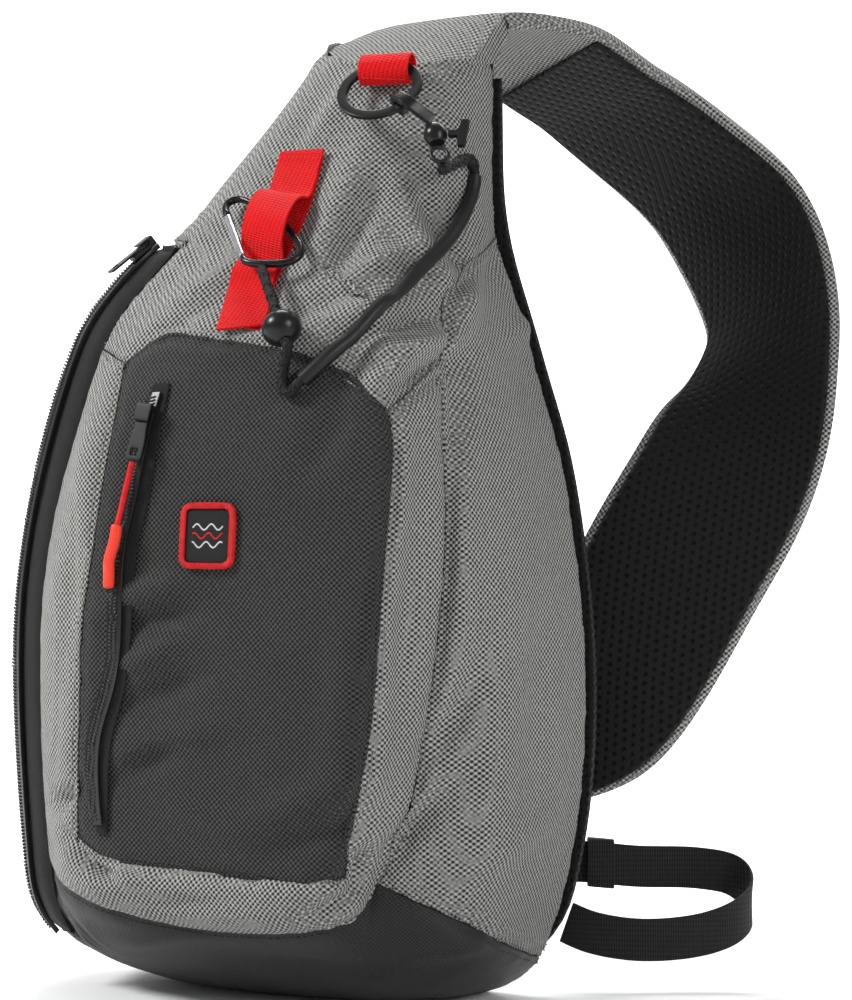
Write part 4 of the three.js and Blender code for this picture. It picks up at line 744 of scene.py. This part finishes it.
# %% Webbing pieces
TRIMS = (
    # node, slot, bevel, levels
    ("daisy_loops", "red_webbing", 0.0004, 2), ("daisy_base", "red_webbing", 0.0003, 2),
    ("top_loop", "red_webbing", 0.0003, 2), ("webbing_loop", "black_webbing", 0.0004, 2),
    ("webbing_keeper", "black_webbing", 0.0003, 2), ("label_border", "red_thread", 0.0004, 2),
    ("label_patch", "black_fabric", 0.0003, 1), ("pocket_zip_tape", "zip_tape", 0.0003, 2),
    ("pocket_zip_coil", "zip_coil", 0.0003, 2), ("main_zip_coil", "zip_coil", 0.0004, 2),
)
for node, slot, bevel, levels in TRIMS:
    piece = baked("trim_" + node, node_mesh(node), bevel, levels)
    panels[node] = dress(piece, slot, stands_for=(node,))
print("trims:", len(TRIMS))

# %% [markdown]
# ## Fittings
# Rings, hooks, sliders and the carabiner are moulded or cast, so every edge is a little round. A
# bevel gives that edge, and subdivision turns the coarse wire of the solids into round wire. The
# gate is the one piece that moves, so it rides on the body of its own.

# %% Fittings
FITTINGS = (
    # node, slot, bevel, levels
    ("pocket_zip_slider", "dark_metal", 0.0004, 2), ("pocket_pull_tab", "dark_metal", 0.0003, 2),
    ("main_zip_slider", "dark_metal", 0.0004, 2), ("main_pull_tab", "dark_metal", 0.0003, 2),
    ("carabiner_body", "black_anodised", 0.0, 2), ("carabiner_gate", "silver_metal", 0.0003, 2),
    ("ring", "black_plastic", 0.0006, 2), ("snap_hook", "black_plastic", 0.0005, 2),
    ("hook_swivel", "black_plastic", 0.0004, 2), ("hook_lever", "black_plastic", 0.0004, 2),
    ("hook_eye", "black_plastic", 0.0, 2), ("strap_buckle", "black_plastic", 0.0006, 2),
    ("lanyard_bead", "black_plastic", 0.0, 2), ("pull_grip", "red_rubber", 0.0, 2),
)
for node, slot, bevel, levels in FITTINGS:
    piece = baked("fitting_" + node, node_mesh(node), bevel, levels)
    body = "gate" if node == "carabiner_gate" else "bag"
    panels[node] = dress(piece, slot, body=body, stands_for=(node,))
print("fittings:", len(FITTINGS))


# %% [markdown]
# ## Thread
# A stitch is a short thread that stands a little proud and dives into the cloth at both ends. One
# small capsule is copied along each seam. The seams come from the panels' own rims: each side
# face of a rim gives a row of stitches a few millimetres in from it.

# %% Stitch tools
SIDES = 6
CAPSULE = ((-0.5, 0.35), (-0.32, 0.9), (0.0, 1.0), (0.32, 0.9), (0.5, 0.35))


def capsules(name, rows, slot, half_width):
    """rows: (place, way, out, length) for each stitch."""
    points, faces = [], []
    for place, way, out, length in rows:
        way = way.normalized()
        side = way.cross(out).normalized()
        rise = side.cross(way)
        start = len(points)
        for along, wide in CAPSULE:
            for i in range(SIDES):
                turn = 2 * math.pi * i / SIDES
                points.append(
                    place + way * (along * length)
                    + (side * math.cos(turn) + rise * math.sin(turn)) * (half_width * wide)
                )
        rings = len(CAPSULE)
        for j in range(rings - 1):
            for i in range(SIDES):
                a, b = start + j * SIDES + i, start + j * SIDES + (i + 1) % SIDES
                faces.append((a, b, b + SIDES, a + SIDES))
        faces.append(tuple(start + i for i in reversed(range(SIDES))))
        faces.append(tuple(start + (rings - 1) * SIDES + i for i in range(SIDES)))
    thing = new_mesh(name, points, faces)
    print(name, "stitches:", len(rows))
    return dress(thing, slot)


print("capsule corners:", SIDES * len(CAPSULE))

# %% [markdown]
# ## Cords
# The lanyard is one braided cord. It leaves the swivel hook's eye, runs through a rubber sleeve
# that lies against the bag, bends back under it, passes the bead, and ends at the carabiner. A
# cord is a curve with a round bevel, through points a few millimetres apart.

# %% Cord tools
def flowing(points, steps=6):
    """A smooth line through the points (Catmull-Rom), with `steps` pieces between each two."""
    ends = [points[0], *points, points[-1]]
    line = []
    for a, b, c, d in zip(ends, ends[1:], ends[2:], ends[3:]):
        for i in range(steps):
            t = i / steps
            line.append(
                0.5 * ((2 * b) + (c - a) * t + (2 * a - 5 * b + 4 * c - d) * t**2
                       + (3 * b - a - 3 * c + d) * t**3)
            )
    return [*line, points[-1].copy()]


def length_of(line):
    return sum((b - a).length for a, b in zip(line, line[1:]))


def cord_piece(name, line, radius, slot, stands_for=()):
    data = bpy.data.curves.new(name, "CURVE")
    data.dimensions = "3D"
    data.bevel_depth = radius
    data.bevel_resolution = 3
    data.use_fill_caps = True
    spline = data.splines.new("POLY")
    spline.points.add(len(line) - 1)
    for point, spot in zip(spline.points, line):
        point.co = (*spot, 1)
    spline.use_smooth = True
    thing = bpy.data.objects.new(name, data)
    bpy.context.scene.collection.objects.link(thing)
    return dress(thing, slot, stands_for=stands_for)


# %% [markdown]
# The lanyard's points run from the hook's eye over the bag's edge, along the sleeve, and round the
# bend to the carabiner. Where the cord is bare, short slanting threads are laid round it, because
# a braid shows its plaits.

# %% The lanyard
CORD_RADIUS = 0.0024
SLEEVE_RADIUS = 0.0035
STRANDS = 6
STRAND_LENGTH, STRAND_HALF_WIDTH, STRAND_SUNK, STRAND_LEAN = 0.0024, 0.00055, 0.0001, 0.8
eye_points = (
    (0.0928, -0.0480, 0.3930), (0.0915, -0.0385, 0.3950), (0.0896, -0.0250, 0.3985),
    (0.0878, -0.0130, 0.4015), (0.0868, -0.0050, 0.4018), (0.0863, -0.0005, 0.3990),
)
sleeve_points = (
    (0.0862, 0.0003, 0.3947), (0.0863, -0.0019, 0.3879), (0.0862, -0.0056, 0.3820),
    (0.0859, -0.0097, 0.3767), (0.0861, -0.0145, 0.3722),
    (0.0861, -0.0200, 0.3678), (0.0864, -0.0262, 0.3635), (0.0862, -0.0326, 0.3594),
    (0.0856, -0.0390, 0.3554), (0.0846, -0.0455, 0.3514), (0.0836, -0.0520, 0.3471),
    (0.0827, -0.0587, 0.3427), (0.0815, -0.0654, 0.3381), (0.0805, -0.0726, 0.3341),
    (0.0798, -0.0806, 0.3306), (0.0773, -0.0870, 0.3252), (0.0743, -0.0922, 0.3193),
    (0.0707, -0.0967, 0.3135), (0.0673, -0.1021, 0.3089), (0.0633, -0.1067, 0.3040),
    (0.0590, -0.1104, 0.2989), (0.0544, -0.1135, 0.2938),
)
bend_points = (
    (0.0525, -0.1147, 0.2917), (0.0497, -0.1154, 0.2882), (0.0458, -0.1149, 0.2906),
    (0.0447, -0.1129, 0.2980), (0.0487, -0.1160, 0.3090), (0.0472, -0.1146, 0.3111),
    (0.0424, -0.1103, 0.3177), (0.0318, -0.1008, 0.3322), (0.0212, -0.0913, 0.3468),
)
lanyard_points = [Vector(p) for p in eye_points + sleeve_points + bend_points]
lanyard_line = flowing(lanyard_points)
sleeve_line = flowing([Vector(p) for p in sleeve_points])
braid_line = flowing(lanyard_points, 3)
print("lanyard:", round(length_of(lanyard_line), 4), "sleeve:", round(length_of(sleeve_line), 4))
sleeve = cord_piece(
    "lanyard_rubber_sleeve", sleeve_line, SLEEVE_RADIUS, "black_rubber", ("lanyard_sleeve",)
)
lanyard = cord_piece(
    "lanyard_cord", lanyard_line, CORD_RADIUS, "black_cord",
    ("lanyard_top_cord", "lanyard_low_cord", "lanyard_end_cord"),
)
braid_rows = []
for number, (a, b) in enumerate(zip(braid_line, braid_line[1:])):
    if any((a - spot).length < SLEEVE_RADIUS for spot in sleeve_line):
        continue
    way = (b - a).normalized()
    side = way.cross(view_way).normalized()
    rise = side.cross(way)
    for i in range(STRANDS):
        turn = 2 * math.pi * (i + 0.5 * (number % 2)) / STRANDS
        out = side * math.cos(turn) + rise * math.sin(turn)
        lean = way.cross(out) * (STRAND_LEAN if i % 2 else -STRAND_LEAN)
        place = a + out * (CORD_RADIUS - STRAND_SUNK)
        braid_rows.append((place, way + lean, out, STRAND_LENGTH))
braid = capsules("lanyard_braid", braid_rows, "black_cord", STRAND_HALF_WIDTH)

# %% [markdown]
# The pocket's zip pull is a short red cord that hangs from the tab, with a moulded grip on it.

# %% The pull cord
PULL_RADIUS = 0.0014
pull_points = (
    (-0.0256, -0.1287, 0.2574), (-0.0295, -0.1292, 0.2424), (-0.0306, -0.1305, 0.2352),
    (-0.0314, -0.1319, 0.2296), (-0.0317, -0.1325, 0.2263), (-0.0318, -0.1329, 0.2219),
    (-0.0331, -0.1332, 0.2164), (-0.0350, -0.1336, 0.2101), (-0.0359, -0.1321, 0.2046),
    (-0.0359, -0.1325, 0.2000),
)
pull_line = flowing([Vector(p) for p in pull_points])
print("pull cord:", round(length_of(pull_line), 4))
pull = cord_piece("zip_pull_cord", pull_line, PULL_RADIUS, "red_cord", ("pull_cord",))


# %% [markdown]
# ## Rows of stitches
# `rim_rows` follows the rim of a panel, a given distance in from it. `picture_rows` follows a line
# of pixels of the picture, which is laid on the cloth along the lines of sight.

# %% Where stitches run
STITCH = 0.0024
STITCH_JUMP = 0.01


def rim_rows(node, inset, pitch, keep):
    mesh = node_mesh(node)
    tree = tree_of(panels[node])
    rows = []
    for face, sharp in side_faces(mesh):
        high = min(AXIS_HIGH, max(AXIS_LOW, face.calc_center_median().z))
        middle = Vector((body_axis.x, body_axis.y, high))
        edge = max(sharp, key=lambda e: ((e.verts[0].co + e.verts[1].co) / 2 - middle).length)
        a, b = (vert.co for vert in edge.verts)
        if not keep((a + b) / 2):
            continue
        count = max(1, round((b - a).length / pitch))
        for i in range(count):
            guess = a.lerp(b, (i + 0.5) / count) - face.normal * inset
            spot, normal, _, _ = tree.find_nearest(guess)
            if spot is not None:
                rows.append((spot, b - a, normal, STITCH))
    mesh.free()
    return rows


def picture_rows(corners, tree, pitch=0.0033, length=STITCH):
    line = []
    for (x0, y0), (x1, y1) in zip(corners, corners[1:]):
        steps = max(1, int(math.hypot(x1 - x0, y1 - y0) / 2))
        for i in range(steps):
            line.append(seen(x0 + (x1 - x0) * i / steps, y0 + (y1 - y0) * i / steps, tree))
    line = [(spot, normal) for spot, normal in line if spot is not None]
    rows, run = [], 0.0
    for (a, normal), (b, _) in zip(line, line[1:]):
        step = (b - a).length
        run += step
        if run >= pitch and step < STITCH_JUMP:
            run = 0.0
            rows.append((a, b - a, normal, length))
    return rows


print("a stitch is", STITCH * 1000, "mm long")

# %% [markdown]
# Grey thread runs beside the seams of the grey panels, and dark thread beside the seams of the
# pocket's face and the tub. Lines that don't follow a rim are laid by the picture's pixels. The
# red webbing is held down by short rows of close stitches, called bar tacks.

# %% Topstitching
THREAD = 0.00034
PITCH = 0.0034
grey_rows = rim_rows("right_gusset", 0.0026, PITCH, lambda p: p.z < 0.075 or p.z > 0.325)
grey_rows += rim_rows("right_gusset", 0.0060, PITCH, lambda p: p.z < 0.075)
grey_rows += rim_rows("upper_front_panel", 0.0026, PITCH, lambda p: p.z < 0.36 and p.y < -0.03)
grey_rows += rim_rows("pocket_gusset", 0.0024, PITCH, lambda p: p.z > 0.08)
grey_rows += rim_rows("left_gusset", 0.0026, PITCH, lambda p: True)
grey_rows += picture_rows(((382, 404), (412, 382), (441, 360)), cloth_tree)
capsules("grey_topstitching", grey_rows, "grey_thread", THREAD)
dark_rows = rim_rows("pocket_panel", 0.0026, PITCH, lambda p: True)
dark_rows += rim_rows("base_panel", 0.0026, PITCH, lambda p: True)
capsules("dark_topstitching", dark_rows, "dark_thread", THREAD)

TACK_PITCH, TACK_LENGTH, TACK_HALF_WIDTH = 0.0019, 0.0016, 0.0003
TACKS = (
    ((276, 153), (327, 153)), ((275, 158), (326, 158)), ((220, 322), (264, 327)),
    ((221, 317), (265, 322)), ((236, 262), (262, 266)), ((362, 78), (408, 80)),
)
webbing_tree = tree_of(panels["daisy_base"], panels["daisy_loops"], panels["top_loop"])
red_rows = []
for line in TACKS:
    red_rows += picture_rows(line, webbing_tree, TACK_PITCH, TACK_LENGTH)
capsules("webbing_bartacks", red_rows, "red_thread", TACK_HALF_WIDTH)


# %% [markdown]
# ## Zip teeth
# A coil zip is a nylon wire wound round, so from outside it looks like a row of short bars with a
# groove down the middle. The coil's solid has four corners at each step of its length; their
# middle is the centre line, along which the bars are set.

# %% Zip teeth
TOOTH_PITCH = 0.0017
TOOTH_RISE = 0.0001
TOOTH_SLANT = 0.25
OUTSIDE = 0.006


def centre_line(node, corners=4):
    mesh = node_mesh(node)
    spots = sorted((vert.co.copy() for vert in mesh.verts), key=lambda p: p.z)
    mesh.free()
    groups = [spots[i:i + corners] for i in range(0, len(spots) - corners + 1, corners)]
    return [sum(group, Vector()) / corners for group in groups]


def coil_rows(node, width):
    tree = tree_of(panels[node])
    line = flowing(centre_line(node), 12)
    rows, run = [], 0.0
    for a, b in zip(line, line[1:]):
        step = (b - a).length
        count = int((run + step) / TOOTH_PITCH)
        for i in range(count):
            guess = a.lerp(b, min(1, ((i + 1) * TOOTH_PITCH - run) / step))
            outward = (guess - Vector((body_axis.x, body_axis.y, guess.z))).normalized()
            spot, normal, _, _ = tree.find_nearest(guess + outward * OUTSIDE)
            side = normal.cross(b - a).normalized()
            for hand in (-1, 1):
                place = spot + side * (hand * width / 4) + normal * TOOTH_RISE
                way = side + (b - a).normalized() * TOOTH_SLANT * hand
                rows.append((place, way, normal, width * 0.52))
        run = run + step - count * TOOTH_PITCH
    return rows


capsules("main_zip_teeth", coil_rows("main_zip_coil", 0.0058), "zip_coil", 0.0006)
capsules("pocket_zip_teeth", coil_rows("pocket_zip_coil", 0.0044), "zip_coil", 0.00052)

# %% [markdown]
# ## Label
# The badge has an overlocked red edge on a black ground. Its face carries only a plain pattern of
# waves in thread, with no letters.

# %% Label stitches
label_tree = tree_of(panels["label_border"])
patch_tree = tree_of(panels["label_patch"])
label_low, label_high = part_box("label_border")
patch_low, patch_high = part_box("label_patch")
BORDER_MIDDLE = 0.0017
CORNER = 0.004
CORNER_STEPS = 6
EDGE_PITCH, EDGE_LENGTH, EDGE_SLANT = 0.0008, 0.0031, 0.35
IN_FRONT = -0.2


def rounded_loop(low, high, inset, corner, steps):
    x0, x1 = low[0] + inset, high[0] - inset
    z0, z1 = low[2] + inset, high[2] - inset
    loop = []
    for cx, cz, start in ((x1, z1, 0), (x0, z1, 90), (x0, z0, 180), (x1, z0, 270)):
        mx = cx - corner if cx == x1 else cx + corner
        mz = cz - corner if cz == z1 else cz + corner
        for i in range(steps):
            turn = math.radians(start + 90 * i / (steps - 1))
            loop.append((mx + corner * math.cos(turn), mz + corner * math.sin(turn)))
    return [*loop, loop[0]]


def on_front(x, z, tree):
    spot, normal, _, _ = tree.ray_cast(Vector((x, IN_FRONT, z)), Vector((0, 1, 0)))
    return spot, normal


edge_rows = []
loop = rounded_loop(label_low, label_high, BORDER_MIDDLE, CORNER, CORNER_STEPS)
for (x0, z0), (x1, z1) in zip(loop, loop[1:]):
    along = Vector((x1 - x0, 0, z1 - z0))
    count = max(1, round(math.hypot(x1 - x0, z1 - z0) / EDGE_PITCH))
    for i in range(count):
        t = i / count
        spot, normal = on_front(x0 + (x1 - x0) * t, z0 + (z1 - z0) * t, label_tree)
        if spot is not None:
            edge_rows.append((spot, along.cross(normal) + along * EDGE_SLANT, normal, EDGE_LENGTH))
capsules("label_overlock", edge_rows, "red_thread", 0.00042)

# %% [markdown]
# Each wave is a row of short stitches along a sine line, and the three waves are a little out of
# step with each other.

# %% Waves of thread
WAVE_STITCHES = 22
WAVE_HALF_WIDTH, WAVE_HEIGHT, WAVE_TURN = 0.0075, 0.0013, 0.6
WAVES = ((0.004, "pale_thread"), (0.0, "red_thread"), (-0.004, "pale_thread"))
wave_rows = {"pale_thread": [], "red_thread": []}
label_middle = (Vector(patch_low) + Vector(patch_high)) / 2
for line, (rise, slot) in enumerate(WAVES):
    for i in range(WAVE_STITCHES):
        x = label_middle.x + WAVE_HALF_WIDTH * (2 * i / (WAVE_STITCHES - 1) - 1)
        slope = math.cos(i * WAVE_TURN + line)
        z = label_middle.z + rise + WAVE_HEIGHT * math.sin(i * WAVE_TURN + line)
        spot, normal = on_front(x, z, patch_tree)
        if spot is not None:
            wave_rows[slot].append((spot, Vector((1, 0, slope * 0.9)), normal, 0.0012))
for slot, rows in wave_rows.items():
    capsules("label_waves_" + slot, rows, slot, 0.0004)
